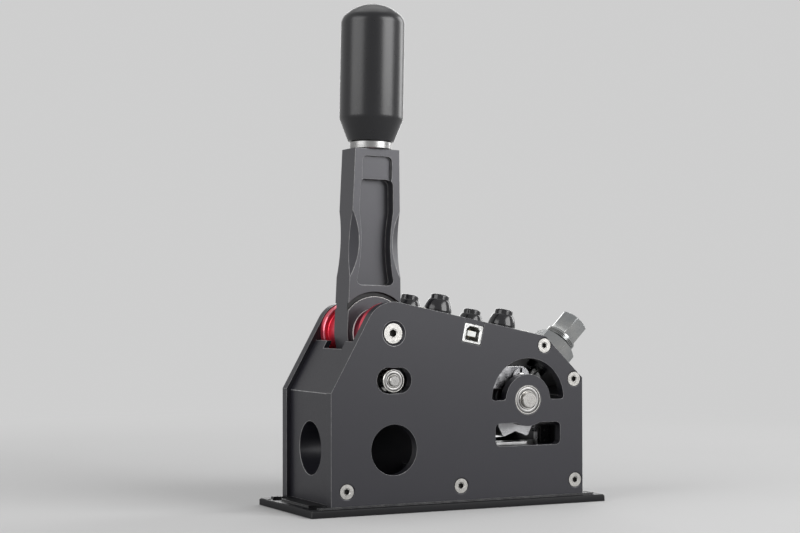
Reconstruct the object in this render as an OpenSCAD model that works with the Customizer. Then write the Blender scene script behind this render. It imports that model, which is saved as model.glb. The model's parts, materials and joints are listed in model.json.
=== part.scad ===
// Sequential shifter: a lever swings between two side plates and turns a rocker through two link bars.
// Millimetres, +Z up. The origin is the middle of the base plate's underside. The lever stands at the
// front end (-X), the force adjuster at the rear (+X). Left is -Y, for someone who faces the front.

/* [Base plate] */
// Reach of the base plate past the body at each end
base_reach = 13; // [11:0.5:25]
// Reach of the base plate past the body at each side
base_side = 3.5; // [1:0.5:12]
// Thickness of the base plate at its rim
rim_thk = 4; // [3:0.5:8]
// Rise of the pad that the body stands on
pad_rise = 1; // [0.5:0.25:2]
// Reach of the pad past the body at each end
pad_reach = 7; // [4:0.5:10]
// Bevel along the rim's upper edges at the ends
rim_bevel = 0.8; // [0.2:0.1:1.5]
// Bevel along the rim's upper edges at the sides
side_bevel = 0.7; // [0.2:0.1:1.5]
// Diameter of the four mounting holes
mount_hole_d = 6.5; // [4.5:0.5:8]
// Diameter of the spot faces around the mounting holes
spot_d = 11.5; // [9:0.5:12]
// Depth of the spot faces below the rim's top
spot_dep = 0.3; // [0.1:0.1:0.8]
// Distance between the mounting holes across the plate
mount_hole_span = 50; // [36:1:56]

/* [Body] */
// Length of the side plates
body_len = 160; // [154:1:176]
// Width over both side plates
body_wid = 68; // [66:1:80]
// Thickness of a side plate
plate_thk = 6; // [5.5:0.25:7]
// Height of the lever's pivot above the top of the side plates' front edge
front_edge_h = 32.1; // [26:0.1:44]
// Height of the lever's pivot above the top of the side plates' rear edge
rear_edge_h = 26.7; // [24:0.1:32]
// Fall of the top edge towards the rear, in degrees
top_slope = 11.7; // [9:0.1:13]
// Angle of the rear corner's chamfer, in degrees
chamfer_ang = 44.5; // [42:0.5:48]
// Radius of the rounded lobe around the lever's pivot
lobe_r = 17.4; // [15:0.2:20]
// Diameter of the round opening in each side plate
side_hole_d = 28; // [15:1:34]
// Height of the round openings' centres above the pad
hole_h = 29.7; // [26:0.5:32]

/* [Cross pieces] */
// Depth of the front plate behind the side plates' front edges
front_recess = 2.5; // [1:0.25:4]
// Thickness of the front plate
front_thk = 14; // [12:0.5:14.5]
// Thickness of the front plate's sloping lip, measured level
front_lip = 3.4; // [2.5:0.1:3.6]
// Drop of the front plate's top edge below the lever's pivot
front_drop = 4.5; // [3:0.25:7]
// Diameter of the round opening in the front plate
front_hole_d = 30; // [16:1:36]
// Width of the notch for the lever in the front plate
lever_notch_wid = 25; // [22:0.5:30]
// Depth of the notch for the lever in the front plate
lever_notch_dep = 4.3; // [2:0.1:6]
// Thickness of the rear plate
rear_thk = 10; // [9:0.5:10]
// Thickness of the plate that carries the force adjuster
adj_plate_thk = 8.7; // [8:0.1:9.5]
// Width of the cross bar at the middle of the base
bar_wid = 12; // [10:0.5:20]
// Height of the cross bar at the middle of the base
bar_hgt = 16; // [14:0.5:24]
// Thickness of the top panel
panel_thk = 2.5; // [2:0.1:2.5]
// Place of the panel's front edge behind the lever's pivot
panel_start = 17; // [16:0.5:18]

/* [Lever] */
// Distance of the lever's pivot from the side plates' front edge
pivot_x = 38; // [36:0.5:40]
// Height of the lever's pivot above the pad
pivot_h = 93.7; // [92:0.5:97]
// Throw of the lever each way, in degrees
throw_deg = 8.6; // [5:0.2:9]
// Rearward lean of the blade with the rollers centred, in degrees
lever_lean = 1.2; // [0:0.1:2]
// Height of the blade above the pivot
blade_top = 104; // [96:1:130]
// Thickness of the lever
lever_thk = 18; // [14:0.5:19]
// Half width of the blade at its top
blade_half = 13.8; // [13:0.1:15]
// Radius of the lever around its pivot
hub_r = 16.8; // [16:0.1:17.2]
// Radius of the lever's lower end
toe_r = 12; // [9:0.5:13]
// Length of the scoops in the blade's edges
scoop_len = 38; // [20:1:42]
// Depth of the scoops in the blade's edges
scoop_dep = 2.75; // [1:0.25:3.5]
// Height of the scoops' middle above the pivot
scoop_z = 51; // [45:1:56]
// Turn of the scoops from the blade's faces, in degrees
scoop_turn = 34; // [30:1:50]
// Height of the long pocket's lower end above the pivot
pocket_low = 26.8; // [25.5:0.2:30]
// Height of the long pocket's upper end above the pivot
pocket_high = 86.7; // [80:0.5:88]
// Half width of the long pocket at its upper end
pocket_half_top = 10; // [8:0.2:10.5]
// Half width of the long pocket at its lower end
pocket_half_low = 11.6; // [9:0.2:12]
// Depth of the long pocket in each face
pocket_dep = 6.5; // [2:0.25:6.5]
// Inward bow of the long pocket's sides
pocket_bow = 1.8; // [0.5:0.1:2.5]
// Height of the short pocket above the long one
cap_pocket_len = 13; // [8:0.2:14]
// Half width of the short pocket
cap_pocket_half = 9.2; // [6:0.2:10]
// Depth of the short pocket in each face
cap_pocket_dep = 2; // [1:0.25:3]
// Corner radius of the pockets
pocket_corner = 3.5; // [2:0.25:5]
// Inner radius of the groove around the hub
groove_r = 20.5; // [19:0.25:21]
// Width of the groove around the hub
groove_wid = 2.5; // [1:0.25:3]
// Depth of the groove around the hub
groove_dep = 1.5; // [0.5:0.25:2]

/* [Grip] */
// Radius of the steel collar under the grip
collar_r = 11.9; // [9:0.1:12.8]
// Height of the steel collar
collar_hgt = 4.5; // [3:0.5:8]
// Radius of the grip
grip_r = 18.2; // [16:0.2:22]
// Radius of the grip's foot
grip_foot_r = 13.3; // [11:0.1:15]
// Height of the tapered foot
grip_foot_hgt = 13; // [8:0.5:20]
// Height of the grip's straight part
grip_body_hgt = 54; // [40:1:70]
// Height of the grip's domed top
grip_dome_hgt = 11.8; // [10:0.2:13]
// Radius of the dome's shoulder
grip_shoulder_r = 7.5; // [6:0.25:8]
// Radius of the stud that holds the grip
stud_r = 5; // [4:0.5:6]
// Depth of the stud in the blade and in the grip
stud_dep = 12; // [8:0.5:12.5]

/* [Pivot] */
// Radius of the lever's pivot shaft
pivot_r = 6; // [5:0.25:7]
// Radius of the red bushes beside the lever
bush_r = 14; // [12.5:0.25:15]
// Radius of the bushes' flanges
flange_r = 17; // [15.5:0.1:17.2]
// Thickness of the bushes' flanges
flange_thk = 5; // [2:0.25:6]
// Outer radius of the lever's bearings
lever_bearing_r = 10.5; // [9:0.25:12]
// Width of the lever's bearings
lever_bearing_wid = 5; // [3:0.25:6]

/* [Linkage] */
// Distance from the lever's pivot down to the roller axle
roller_arm = 26.1; // [25.5:0.1:27]
// Distance from the rocker's shaft up to the crank pin
crank_arm = 12.6; // [12.2:0.1:13.4]
// Distance of the rocker's shaft from the side plates' rear edge
rocker_x = 36.5; // [35.5:0.25:37.5]
// Radius of the roller axle and the crank pin
pin_r = 3; // [2.5:0.25:3.25]
// Outer radius of the slot rollers
roller_r = 6.5; // [5.5:0.25:7]
// Width of a slot roller
roller_wid = 5; // [3.5:0.25:5]
// Play between a slot roller and its slot
slot_play = 0.7; // [0.5:0.05:1]
// Radius of the link bars' ends
link_r = 6.5; // [5.5:0.25:7]
// Thickness of a link bar
link_thk = 4.4; // [3:0.2:4.6]
// Distance from the middle to a link bar's inner face
link_in = 20.6; // [20.4:0.1:21]
// Radius of the rocker's shaft
shaft_r = 4.5; // [4:0.25:5]
// How far the rocker's shaft stands out of the side plates
shaft_proud = 2.2; // [0:0.1:3]
// How far the roller axle stands out of the side plates
axle_proud = 1.1; // [0:0.1:2]
// Outer radius of the rocker's bearings
rocker_bearing_r = 8.5; // [7.5:0.25:9]
// Width of the rocker's bearings
rocker_bearing_wid = 5; // [4:0.25:5]

/* [Rocker] */
// Distance from the middle to a cheek's outer face
cheek_out = 19.4; // [18.5:0.1:19.8]
// Thickness of a cheek
cheek_thk = 9.8; // [9.2:0.2:10]
// Radius of the rocker's hub between the cheeks
hub_core_r = 10; // [8:0.25:11]
// Radius of the cheeks around the shaft
cheek_r = 12.5; // [11:0.25:13]
// Sideways distance from the shaft to a lower lobe's centre
lobe_x = 7.2; // [6:0.1:8]
// Drop from the shaft to a lower lobe's centre
lobe_z = 19.6; // [18:0.1:20]
// Radius of a lower lobe's tip
lobe_tip_r = 2; // [1:0.1:2.5]
// Height of the notch between the lower lobes
lobe_notch = 2.7; // [1:0.1:4]
// Radius of the detent track
cam_r = 15.5; // [14.5:0.1:16]
// Half angle of the detent track, in degrees
cam_half_ang = 26; // [22:1:30]
// Depth of the detent notch in the track
cam_notch = 2.2; // [1:0.1:2.5]

/* [Rear openings] */
// Inner radius of the arched opening around the rocker's shaft
arch_in = 14.6; // [13:0.1:15.5]
// Outer radius of the arched opening
arch_out = 23.8; // [20:0.1:24.4]
// Corner radius of the arched opening
arch_corner = 2; // [1:0.25:3]
// Width of the window under the rocker's shaft
window_wid = 42.8; // [30:0.5:46]
// Drop from the rocker's shaft to the window's top
window_top = 13; // [12.5:0.1:14]
// Height of the window
window_hgt = 13; // [9:0.25:14]
// Radius of the round web that the window's top leaves
window_web_r = 15; // [14:0.1:16.5]
// Corner radius of the window
window_corner = 3; // [1:0.25:4]

/* [Force adjuster] */
// Place of the adjuster across the body
adj_y = -14; // [-14:0.25:-13]
// Radius of the adjuster's threaded barrel
barrel_r = 6; // [5.5:0.1:6.1]
// Depth of the barrel's end inside the adjuster plate
barrel_reach = 4.4; // [3:0.2:5]
// Width across flats of the base nut
nut_af = 23; // [16:0.5:24]
// Height of the base nut
nut_hgt = 10.8; // [6:0.2:12]
// Width across flats of the adjuster cap
cap_af = 16; // [13:0.5:17]
// Height of the adjuster cap's hexagon
cap_hgt = 13; // [8:0.5:16]
// Radius of the collar under the cap's hexagon
cap_collar_r = 9.4; // [8:0.1:10]
// Height of that collar
cap_collar_hgt = 3.4; // [1:0.2:5]
// Length of the thread that shows between nut and cap
cap_neck = 1.2; // [0.6:0.1:3]
// Turn of the base nut's flats, in degrees
nut_turn = 25.5; // [0:0.5:60]
// Turn of the cap's flats at rest, in degrees
cap_turn = 7; // [0:1:60]
// Length of the cap's shank inside the nut
cap_shank = 8; // [6:0.5:9]
// Radius of the plunger's body
plunger_r = 3.95; // [3.5:0.05:4.1]
// Radius of the plunger's nose
nose_r = 2.4; // [2:0.1:2.6]
// Travel of the plunger
plunger_travel = 1.6; // [1:0.1:2]
// Wire diameter of the plunger's spring
spring_wire = 1; // [0.7:0.05:1.1]
// Turns of the plunger's spring
spring_turns = 5; // [4:1:6]

/* [Push buttons] */
// Distance of the front buttons behind the lever's pivot, measured level
button_front_x = 34.6; // [33:0.2:36]
// Distance of the rear buttons ahead of the rear corner, measured level
button_rear_x = 20.94; // [19.5:0.02:22]
// Distance of the buttons from the middle
button_y = 19; // [18.5:0.1:19.5]
// Radius of a bezel's foot
bezel_foot_r = 8; // [7:0.1:8.2]
// Radius of a bezel's rim
bezel_rim_r = 6.25; // [6:0.05:7]
// Height of a bezel above the panel
bezel_hgt = 8; // [5:0.25:10]
// Radius of a bezel's threaded barrel
bezel_barrel_r = 5.9; // [5.6:0.1:6]
// Length of a bezel's threaded barrel below the panel
bezel_barrel_len = 14; // [10:0.5:16]
// Radius of a button's cap
button_r = 5.2; // [4.5:0.1:5.3]
// Height of a button's cap above its bezel
button_rise = 3; // [2.2:0.1:4]
// Travel of a button
button_travel = 1.5; // [0.5:0.1:1.8]
// Width across flats of a button's nut
button_nut_af = 14; // [13.5:0.25:15]
// Height of a button's nut
button_nut_hgt = 2.5; // [2:0.25:4]

/* [Socket and board] */
// Distance of the socket's middle behind the front buttons, measured level
socket_x = 16.6; // [13.6:0.2:17.6]
// Width of the socket's shell
socket_wid = 12; // [11.5:0.1:12.5]
// Height of the socket's shell
socket_hgt = 11; // [10.5:0.1:11.5]
// Depth of the socket's shell
socket_dep = 16; // [14:0.5:20]
// Wall of the socket's shell
socket_wall = 1.6; // [1:0.1:1.8]
// Depth of the socket's mouth
socket_mouth_dep = 11; // [8:0.5:12]
// Thickness of the circuit board
board_thk = 1.6; // [1:0.1:2]
// Length of the circuit board along the panel
board_len = 26.5; // [24:0.5:27]
// Distance of the circuit board's far edge from the middle
board_far = 12; // [8:0.5:20]

/* [Switches] */
// Distance from the rocker's shaft to a switch's face, measured level
switch_reach = 19.5; // [19:0.1:19.6]
// Width of a switch along the body
switch_len = 6.4; // [5.8:0.1:6.5]
// Width of a switch across the body
switch_wid = 5.8; // [5:0.1:6]
// Height of a switch
switch_hgt = 12.8; // [11:0.2:13]
// Drop from the rocker's shaft to a switch's top
switch_drop = 16.2; // [15.5:0.1:17]
// Drop from the rocker's shaft to the bracket's ledge
ledge_drop = 25; // [24.5:0.1:27]
// Length of the bracket's ledge
ledge_len = 20; // [12:1:28]
// Offset of the ledge's middle to the front of the rocker's shaft
ledge_shift = 2.5; // [0:0.5:5]
// Thickness of the bracket's sheet
sheet_thk = 1.6; // [1:0.1:1.8]

/* [Fasteners] */
// Radius of the side plates' screws
screw_r = 2.5; // [2:0.25:3]
// Radius of those screws' heads
screw_head_r = 4.5; // [4:0.1:4.6]
// Length of those screws
screw_len = 16; // [10:1:20]
// Radius of the pivot screws
pivot_screw_r = 3; // [2.5:0.25:3.5]
// Radius of the pivot screws' heads
pivot_head_r = 6; // [5:0.1:6.2]
// Length of the pivot screws
pivot_screw_len = 18; // [12:1:22]
// Length of a base screw
base_screw_len = 13; // [11:1:20]
// Distance of the base screws from the middle
base_screw_y = 11; // [7:0.5:12]
// Radius of the panel's screws
small_screw_r = 1.5; // [1.25:0.25:1.75]

/* [Clearances] */
// Radial play of shafts and pins that turn
run_gap = 0.05; // [0.02:0.01:0.09]
// Play between the sides of moving pieces
side_gap = 0.3; // [0.25:0.05:0.4]
// Radial play of fitted pieces that don't move
fit_gap = 0.02; // [0.01:0.01:0.05]
// Play around the panel
panel_gap = 0.2; // [0.1:0.05:0.3]
// Sink of the side plates' screws in their countersinks
screw_sink = 0.35; // [0.2:0.05:0.5]
// Sink of the pivot screws in their countersinks
pivot_sink = 1; // [0.3:0.1:1.2]
// Radial slack of the link bars' eyes around the crank pin
eye_slack = 1.1; // [1:0.05:1.4]

/* [Hidden] */
$fn = 72;

// Heights and half widths that the pieces share
deck = rim_thk + pad_rise;
half_len = body_len / 2;
half_wid = body_wid / 2;
lever_x = pivot_x - half_len;
shaft_x = half_len - rocker_x;
inner_y = half_wid - plate_thk;
pivot_z = deck + pivot_h;
roller_z = pivot_z - roller_arm;
rocker_z = roller_z - crank_arm;
front_z = pivot_z - front_edge_h;
rear_z = pivot_z - rear_edge_h;
hole_z = deck + hole_h;

// The side plates' outline: a lobe, a slope on each side of it, and a chamfered rear corner
edge_run = lever_x + half_len;
edge_rise = pivot_z - front_z;
front_ang = atan2(edge_rise, edge_run) + asin(lobe_r / norm([edge_run, edge_rise]));
lobe_front = [lever_x - lobe_r * sin(front_ang), pivot_z + lobe_r * cos(front_ang)];
lobe_rear = [lever_x + lobe_r * sin(top_slope), pivot_z + lobe_r * cos(top_slope)];
function top_z(x) = lobe_rear[1] - tan(top_slope) * (x - lobe_rear[0]);
corner_x = (rear_z + tan(chamfer_ang) * half_len - top_z(0)) / (tan(chamfer_ang) - tan(top_slope));
corner = [corner_x, top_z(corner_x)];
chamfer_in = [-sin(chamfer_ang), -cos(chamfer_ang)];
chamfer_up = [-cos(chamfer_ang), sin(chamfer_ang)];
chamfer_len = norm(corner - [half_len, rear_z]);

// The front plate's faces
front_x = -half_len + front_recess;
front_back_x = front_x + front_thk;
front_top = pivot_z - front_drop;
function slope_x(z) = -half_len + (z - front_z) / tan(front_ang) + front_recess / sin(front_ang);
front_knee = front_z + (front_recess - front_recess / sin(front_ang)) * tan(front_ang);
back_knee = front_z + (front_back_x - front_lip + half_len - front_recess / sin(front_ang)) * tan(front_ang);

// The screws in the side plates
front_screw = [front_x + front_thk / 2, deck + bar_hgt / 2];
bar_screw = [0, deck + bar_hgt / 2];
rear_screw = [half_len - rear_thk / 2, deck + bar_hgt / 2];
end_dist = screw_head_r - 1.1;
chamfer_mid = [half_len, rear_z] + chamfer_in * adj_plate_thk / 2;
low_screw = chamfer_mid + chamfer_up * end_dist;
high_screw = chamfer_mid + chamfer_up * (chamfer_len - end_dist);
side_screws = [front_screw, bar_screw, rear_screw, low_screw, high_screw];

// The slot for the rollers
slot_r = roller_r + slot_play;
slot_half = throw_deg - (slot_play - side_gap) / roller_arm * 180 / PI;

// The panel, measured along its own slope from where it stands over the origin
function along(x) = x / cos(top_slope);
panel_front = along(lever_x + panel_start);
panel_rear = along(corner[0]) - panel_gap;
mitre = panel_thk / tan(90 - chamfer_ang + top_slope);
panel_half = inner_y - panel_gap;
block_len = 5;
block_wid = 8;
block_hgt = 7;
block_y = inner_y - block_wid / 2;
block_front = panel_front + 5.5;
block_rear = panel_rear - 8.6;
block_spots = [for (s = [block_front, block_rear], y = [-block_y, block_y]) [s, y]];
front_spot = along(lever_x + button_front_x);
rear_spot = along(corner[0] - button_rear_x);
button_spots = [for (s = [front_spot, rear_spot], y = [-button_y, button_y]) [s, y]];
socket_spot = front_spot + along(socket_x);
board_drop = panel_thk + socket_hgt;
board_mid = (front_spot + rear_spot) / 2;

// The force adjuster, measured outwards from the rocker's shaft
face_out = (half_len - shaft_x) * sin(chamfer_ang) + (rear_z - rocker_z) * cos(chamfer_ang);
barrel_end = face_out - adj_plate_thk - barrel_reach;
barrel_lip = 1.5;
bore_r = plunger_r + run_gap;
shoulder_out = barrel_end + barrel_lip + side_gap;
tip_out = cam_r + side_gap;
plunger_back = shoulder_out + 4.2;
cap_foot = face_out + nut_hgt + cap_neck;
shank_end = cap_foot - cap_shank;
cap_edge = 0.6;

// The hexagons' corners are cut at 30 degrees
hex_edge = 0.4;
hex_slope = 1.73;
spring_r = plunger_r - spring_wire / 2 - 0.35;

// The bezels' sides are arcs that stand upright at the panel
bezel_lean = bezel_foot_r - bezel_rim_r;
bezel_bulge_r = (pow(bezel_hgt, 2) + pow(bezel_lean, 2)) / (2 * bezel_lean);

// The lever
blade_ang = asin((hub_r - blade_half) / blade_top);
scoop_r = (pow(scoop_len / 2, 2) + pow(scoop_dep, 2)) / (2 * scoop_dep);
face_y = lever_thk / 2;
bush_y = face_y + side_gap;

// The stack on the roller axle, from the lever outwards
roller_in = inner_y + (plate_thk - roller_wid) / 2 + 0.1;

// The stack on the rocker's shaft
bearing_out = -half_wid + 0.1;
spacer_r = shaft_r + 0.9;

// The switches' faces stand clear of the rocker's lobes at the ends of their swing
rocker_swing = throw_deg * roller_arm / crank_arm;
web_y = -cheek_out + cheek_thk + 2 * side_gap;
switch_top = rocker_z - switch_drop;
arm_r = 1.4;
arm_x = switch_reach - 2.2;
arm_y = web_y - switch_wid / 2;
arm_wid = 3.2;
hinge_r = 0.6;
hinge_x = switch_reach + hinge_r;
hinge_z = -switch_hgt + 1.9;

// Shapes that repeat
module slab(y0, y1) {
    translate([0, y1, 0])
        rotate([90, 0, 0])
            linear_extrude(height = y1 - y0) children();
}

module rod_y(r, y0, y1) {
    translate([0, y0, 0])
        rotate([-90, 0, 0])
            cylinder(r = r, h = y1 - y0);
}

module at_xz(p) {
    translate([p[0], 0, p[1]]) children();
}

module both_sides() {
    children();
    mirror([0, 1, 0]) children();
}

module round_rect(w, h, r) {
    square([w - 2 * r, h], center = true);
    square([w, h - 2 * r], center = true);
    for (x = [-1, 1], y = [-1, 1])
        translate([x * (w / 2 - r), y * (h / 2 - r)]) circle(r = r);
}

module ring_sector(r0, r1, a0, a1) {
    reach = 2 * r1;
    mid = (a0 + a1) / 2;
    intersection() {
        difference() {
            circle(r = r1);
            circle(r = r0);
        }
        polygon([
            [0, 0],
            [reach * cos(a0), reach * sin(a0)],
            [reach * cos(mid) * 2, reach * sin(mid) * 2],
            [reach * cos(a1), reach * sin(a1)]
        ]);
    }
}

module hex_prism(af, h) {
    cylinder(r = af / sqrt(3), h = h, $fn = 6);
}

module hex_cone(af, hgt) {
    top_r = af / 2 - hex_edge;
    cylinder(r1 = top_r + hex_slope * hgt, r2 = top_r, h = hgt);
}

// A countersunk screw, its head's top at z = -sink and its shank pointing down
module sunk_screw(r, head_r, sink, len) {
    key_r = r * 0.62;
    difference() {
        union() {
            translate([0, 0, -sink - (head_r - r)]) cylinder(r1 = r, r2 = head_r, h = head_r - r);
            translate([0, 0, -len]) cylinder(r = r, h = len - sink);
        }
        translate([0, 0, -sink - r]) cylinder(r = key_r, h = r + 1, $fn = 6);
    }
}

// The hole for a countersunk screw
module sunk_hole(r, head_r, sink, len) {
    top_r = head_r + sink + fit_gap;
    translate([0, 0, r - top_r]) cylinder(r1 = r, r2 = top_r + 1, h = top_r + 1 - r);
    translate([0, 0, -len]) cylinder(r = r, h = len);
}

module from_left() {
    translate([0, -half_wid, 0]) rotate([90, 0, 0]) children();
}

module on_panel(s, y) {
    translate([0, y, top_z(0)])
        rotate([0, top_slope, 0])
            translate([s, 0, 0]) children();
}

module on_adjuster() {
    translate([shaft_x, adj_y, rocker_z])
        rotate([0, chamfer_ang, 0]) children();
}

// Base plate
module base_plate() {
    len = body_len + 2 * base_reach;
    wid = body_wid + 2 * base_side;
    pad_len = body_len + 2 * pad_reach;
    color([0.13, 0.13, 0.14])
        difference() {
            union() {
                slab(-wid / 2, wid / 2)
                    polygon([
                        [-len / 2, 0], [len / 2, 0], [len / 2, rim_thk - rim_bevel],
                        [len / 2 - rim_bevel, rim_thk], [-len / 2 + rim_bevel, rim_thk],
                        [-len / 2, rim_thk - rim_bevel]
                    ]);
                translate([-pad_len / 2, -half_wid, rim_thk - rim_bevel])
                    cube([pad_len, body_wid, pad_rise + rim_bevel]);
            }
            for (x = [-1, 1], y = [-1, 1])
                translate([x * (half_len + base_reach / 2), y * mount_hole_span / 2, 0]) {
                    translate([0, 0, -1]) cylinder(d = mount_hole_d, h = deck + 2);
                    // Spot face for the bolt's head
                    translate([0, 0, rim_thk - spot_dep]) cylinder(d = spot_d, h = deck);
                }
            base_screw_spots() mirror([0, 0, 1]) sunk_hole(screw_r + 0.25, screw_head_r, screw_sink, deck + 1);
            bracket_spots() translate([0, 0, -1]) cylinder(r = small_screw_r + fit_gap, h = deck + 2);
            // Bevels along the rim's long edges
            both_sides()
                translate([-len / 2 - 1, -wid / 2, rim_thk])
                    rotate([90, 0, 90])
                        linear_extrude(height = len + 2)
                            polygon([[-1, -side_bevel - 1], [side_bevel + 1, 1], [-1, 1]]);
        }
}

module base_screw_spots() {
    for (x = [front_screw[0], bar_screw[0], rear_screw[0]], y = [-1, 1])
        translate([x, y * base_screw_y, 0]) children();
}

module base_screws() {
    color([0.55, 0.56, 0.58])
        base_screw_spots() mirror([0, 0, 1]) sunk_screw(screw_r, screw_head_r, screw_sink, base_screw_len);
}

module base_screw_holes() {
    base_screw_spots() translate([0, 0, deck - 1]) cylinder(r = screw_r + fit_gap, h = base_screw_len - deck + 2);
}

// Side plates
module plate_outline() {
    polygon([
        [-half_len, deck], [half_len, deck], [half_len, rear_z],
        corner, lobe_rear, lobe_front, [-half_len, front_z]
    ]);
    translate([lever_x, pivot_z]) circle(r = lobe_r);
}

module arch_fillet(x, r) {
    difference() {
        translate([min(x, x + 2 * r), -0.01]) square([abs(2 * r), abs(r) + 0.01]);
        translate([x, abs(r)]) circle(r = abs(r));
    }
}

module arch_opening() {
    out_x = sqrt(pow(arch_out - arch_corner, 2) - pow(arch_corner, 2));
    in_x = sqrt(pow(arch_in + arch_corner, 2) - pow(arch_corner, 2));
    difference() {
        ring_sector(arch_in, arch_out, 0, 180);
        for (side = [0, 1])
            mirror([side, 0]) {
                arch_fillet(out_x, arch_corner);
                arch_fillet(in_x, -arch_corner);
            }
    }
}

module plate_openings() {
    at_xz([lever_x, pivot_z]) slab(-half_wid - 1, -inner_y + 1)
        rotate([0, 0, -90]) roller_slot();
    at_xz([lever_x, hole_z]) rod_y(side_hole_d / 2, -half_wid - 1, -inner_y + 1);
    at_xz([shaft_x, rocker_z]) {
        slab(-half_wid - 1, -inner_y + 1) arch_opening();
        slab(-half_wid - 1, -inner_y + 1)
            difference() {
                translate([0, -window_top - window_hgt / 2]) round_rect(window_wid, window_hgt, window_corner);
                circle(r = window_web_r);
            }
        rod_y(rocker_bearing_r + fit_gap, -half_wid - 1, bearing_out + rocker_bearing_wid);
        rod_y(spacer_r + side_gap, -half_wid, -inner_y + 1);
    }
    at_xz([lever_x, pivot_z])
        from_left() sunk_hole(pivot_screw_r + 0.25, pivot_head_r, pivot_sink, plate_thk + 1);
    for (p = side_screws)
        at_xz(p) from_left() sunk_hole(screw_r + 0.25, screw_head_r, screw_sink, plate_thk + 1);
}

module roller_slot() {
    ring_sector(roller_arm - slot_r + fit_gap, roller_arm + slot_r - fit_gap, -slot_half, slot_half);
    for (a = [-slot_half, slot_half])
        rotate([0, 0, a]) translate([roller_arm, 0]) circle(r = slot_r);
}

module socket_notch() {
    wid = socket_wid + 2 * panel_gap;
    on_panel(socket_spot, -half_wid - 1)
        translate([-wid / 2, 0, -board_drop - panel_gap])
            cube([wid, plate_thk + 2, board_drop + 5]);
}

module side_plate(notch) {
    color([0.16, 0.16, 0.17])
        difference() {
            slab(-half_wid, -inner_y) plate_outline();
            plate_openings();
            if (notch)
                socket_notch();
        }
}

module side_plate_left() {
    side_plate(true);
}

module side_plate_right() {
    mirror([0, 1, 0]) side_plate(false);
}

module plate_screws() {
    color([0.75, 0.75, 0.76])
        both_sides()
            for (p = side_screws)
                at_xz(p) from_left() sunk_screw(screw_r, screw_head_r, screw_sink, screw_len);
}

module side_screw_holes(spots) {
    both_sides()
        for (p = spots)
            at_xz(p) from_left() translate([0, 0, -screw_len - 1]) cylinder(r = screw_r + fit_gap, h = screw_len);
}

// Cross pieces between the side plates
module front_plate() {
    color([0.17, 0.17, 0.18])
        difference() {
            slab(-inner_y, inner_y)
                polygon([
                    [front_x, deck], [front_back_x, deck], [front_back_x, back_knee],
                    [slope_x(front_top) + front_lip, front_top], [slope_x(front_top), front_top],
                    [front_x, front_knee]
                ]);
            // Room for the hub, the bushes' flanges and the lever
            at_xz([lever_x, pivot_z]) {
                rod_y(flange_r + 2 * side_gap, -inner_y - 1, inner_y + 1);
                rod_y(hub_r + 3, -lever_notch_wid / 2, lever_notch_wid / 2);
            }
            translate([-half_len - 1, -lever_notch_wid / 2, front_top - lever_notch_dep])
                cube([half_len, lever_notch_wid, lever_notch_dep + 1]);
            translate([front_x - 1, 0, hole_z])
                rotate([0, 90, 0]) cylinder(d = front_hole_d, h = front_thk + 2);
            side_screw_holes([front_screw]);
            base_screw_holes();
        }
}

module rear_plate() {
    low_end = [half_len, rear_z];
    color([0.17, 0.17, 0.18])
        difference() {
            slab(-inner_y, inner_y)
                polygon([
                    [half_len - rear_thk, deck], [half_len, deck], low_end - [0, panel_gap],
                    [half_len - rear_thk, rear_z - panel_gap - rear_thk / tan(chamfer_ang)]
                ]);
            side_screw_holes([rear_screw]);
            base_screw_holes();
        }
}

module adjuster_plate() {
    low_end = [half_len, rear_z];
    color([0.17, 0.17, 0.18])
        difference() {
            slab(-inner_y, inner_y)
                polygon([
                    low_end, corner,
                    corner + chamfer_in * adj_plate_thk, low_end + chamfer_in * adj_plate_thk
                ]);
            on_adjuster() cylinder(r = barrel_r + fit_gap, h = face_out + 1);
            side_screw_holes([low_screw, high_screw]);
        }
}

module cross_bar() {
    color([0.17, 0.17, 0.18])
        difference() {
            translate([-bar_wid / 2, -inner_y, deck]) cube([bar_wid, body_wid - 2 * plate_thk, bar_hgt]);
            side_screw_holes([bar_screw]);
            base_screw_holes();
        }
}

// Top panel and what hangs from it
module top_panel() {
    notch = lever_thk + 4;
    reach = hub_r + lobe_r * sin(throw_deg + lever_lean) + 2 * side_gap;
    color([0.15, 0.15, 0.16])
        difference() {
            on_panel(0, 0)
                union() {
                    slab(-panel_half, panel_half)
                        polygon([
                            [panel_front, 0], [panel_rear, 0],
                            [panel_rear - mitre, -panel_thk], [panel_front, -panel_thk]
                        ]);
                    // A tab closes the socket's notch in the left side plate
                    translate([socket_spot - socket_wid / 2, -half_wid, -panel_thk])
                        cube([socket_wid, plate_thk + 2 * panel_gap, panel_thk]);
                }
            // Room for the lever at the end of its throw
            translate([lever_x, -notch / 2, pivot_z]) cube([reach, notch, hub_r + reach]);
            for (p = button_spots)
                on_panel(p[0], p[1]) translate([0, 0, -panel_thk - 1])
                    cylinder(r = bezel_barrel_r + fit_gap, h = panel_thk + 2);
            for (p = block_spots)
                on_panel(p[0], p[1]) translate([0, 0, -panel_thk - 1])
                    cylinder(r = small_screw_r + 0.2, h = panel_thk + 2);
        }
}

module panel_blocks() {
    color([0.6, 0.61, 0.63])
        for (p = block_spots)
            on_panel(p[0], p[1])
                difference() {
                    translate([-block_len / 2, -block_wid / 2, -panel_thk - block_hgt])
                        cube([block_len, block_wid, block_hgt]);
                    translate([0, 0, -panel_thk - block_hgt - 1])
                        cylinder(r = small_screw_r + fit_gap, h = block_hgt + 2);
                }
}

// A small button-head screw that stands on z = 0
module small_screw(len) {
    head_r = small_screw_r * 1.85;
    head_h = small_screw_r;
    difference() {
        union() {
            cylinder(r1 = head_r, r2 = head_r * 0.72, h = head_h);
            translate([0, 0, -len]) cylinder(r = small_screw_r, h = len + 0.1);
        }
        translate([0, 0, head_h * 0.3]) cylinder(r = small_screw_r * 0.6, h = head_h, $fn = 6);
    }
}

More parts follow.
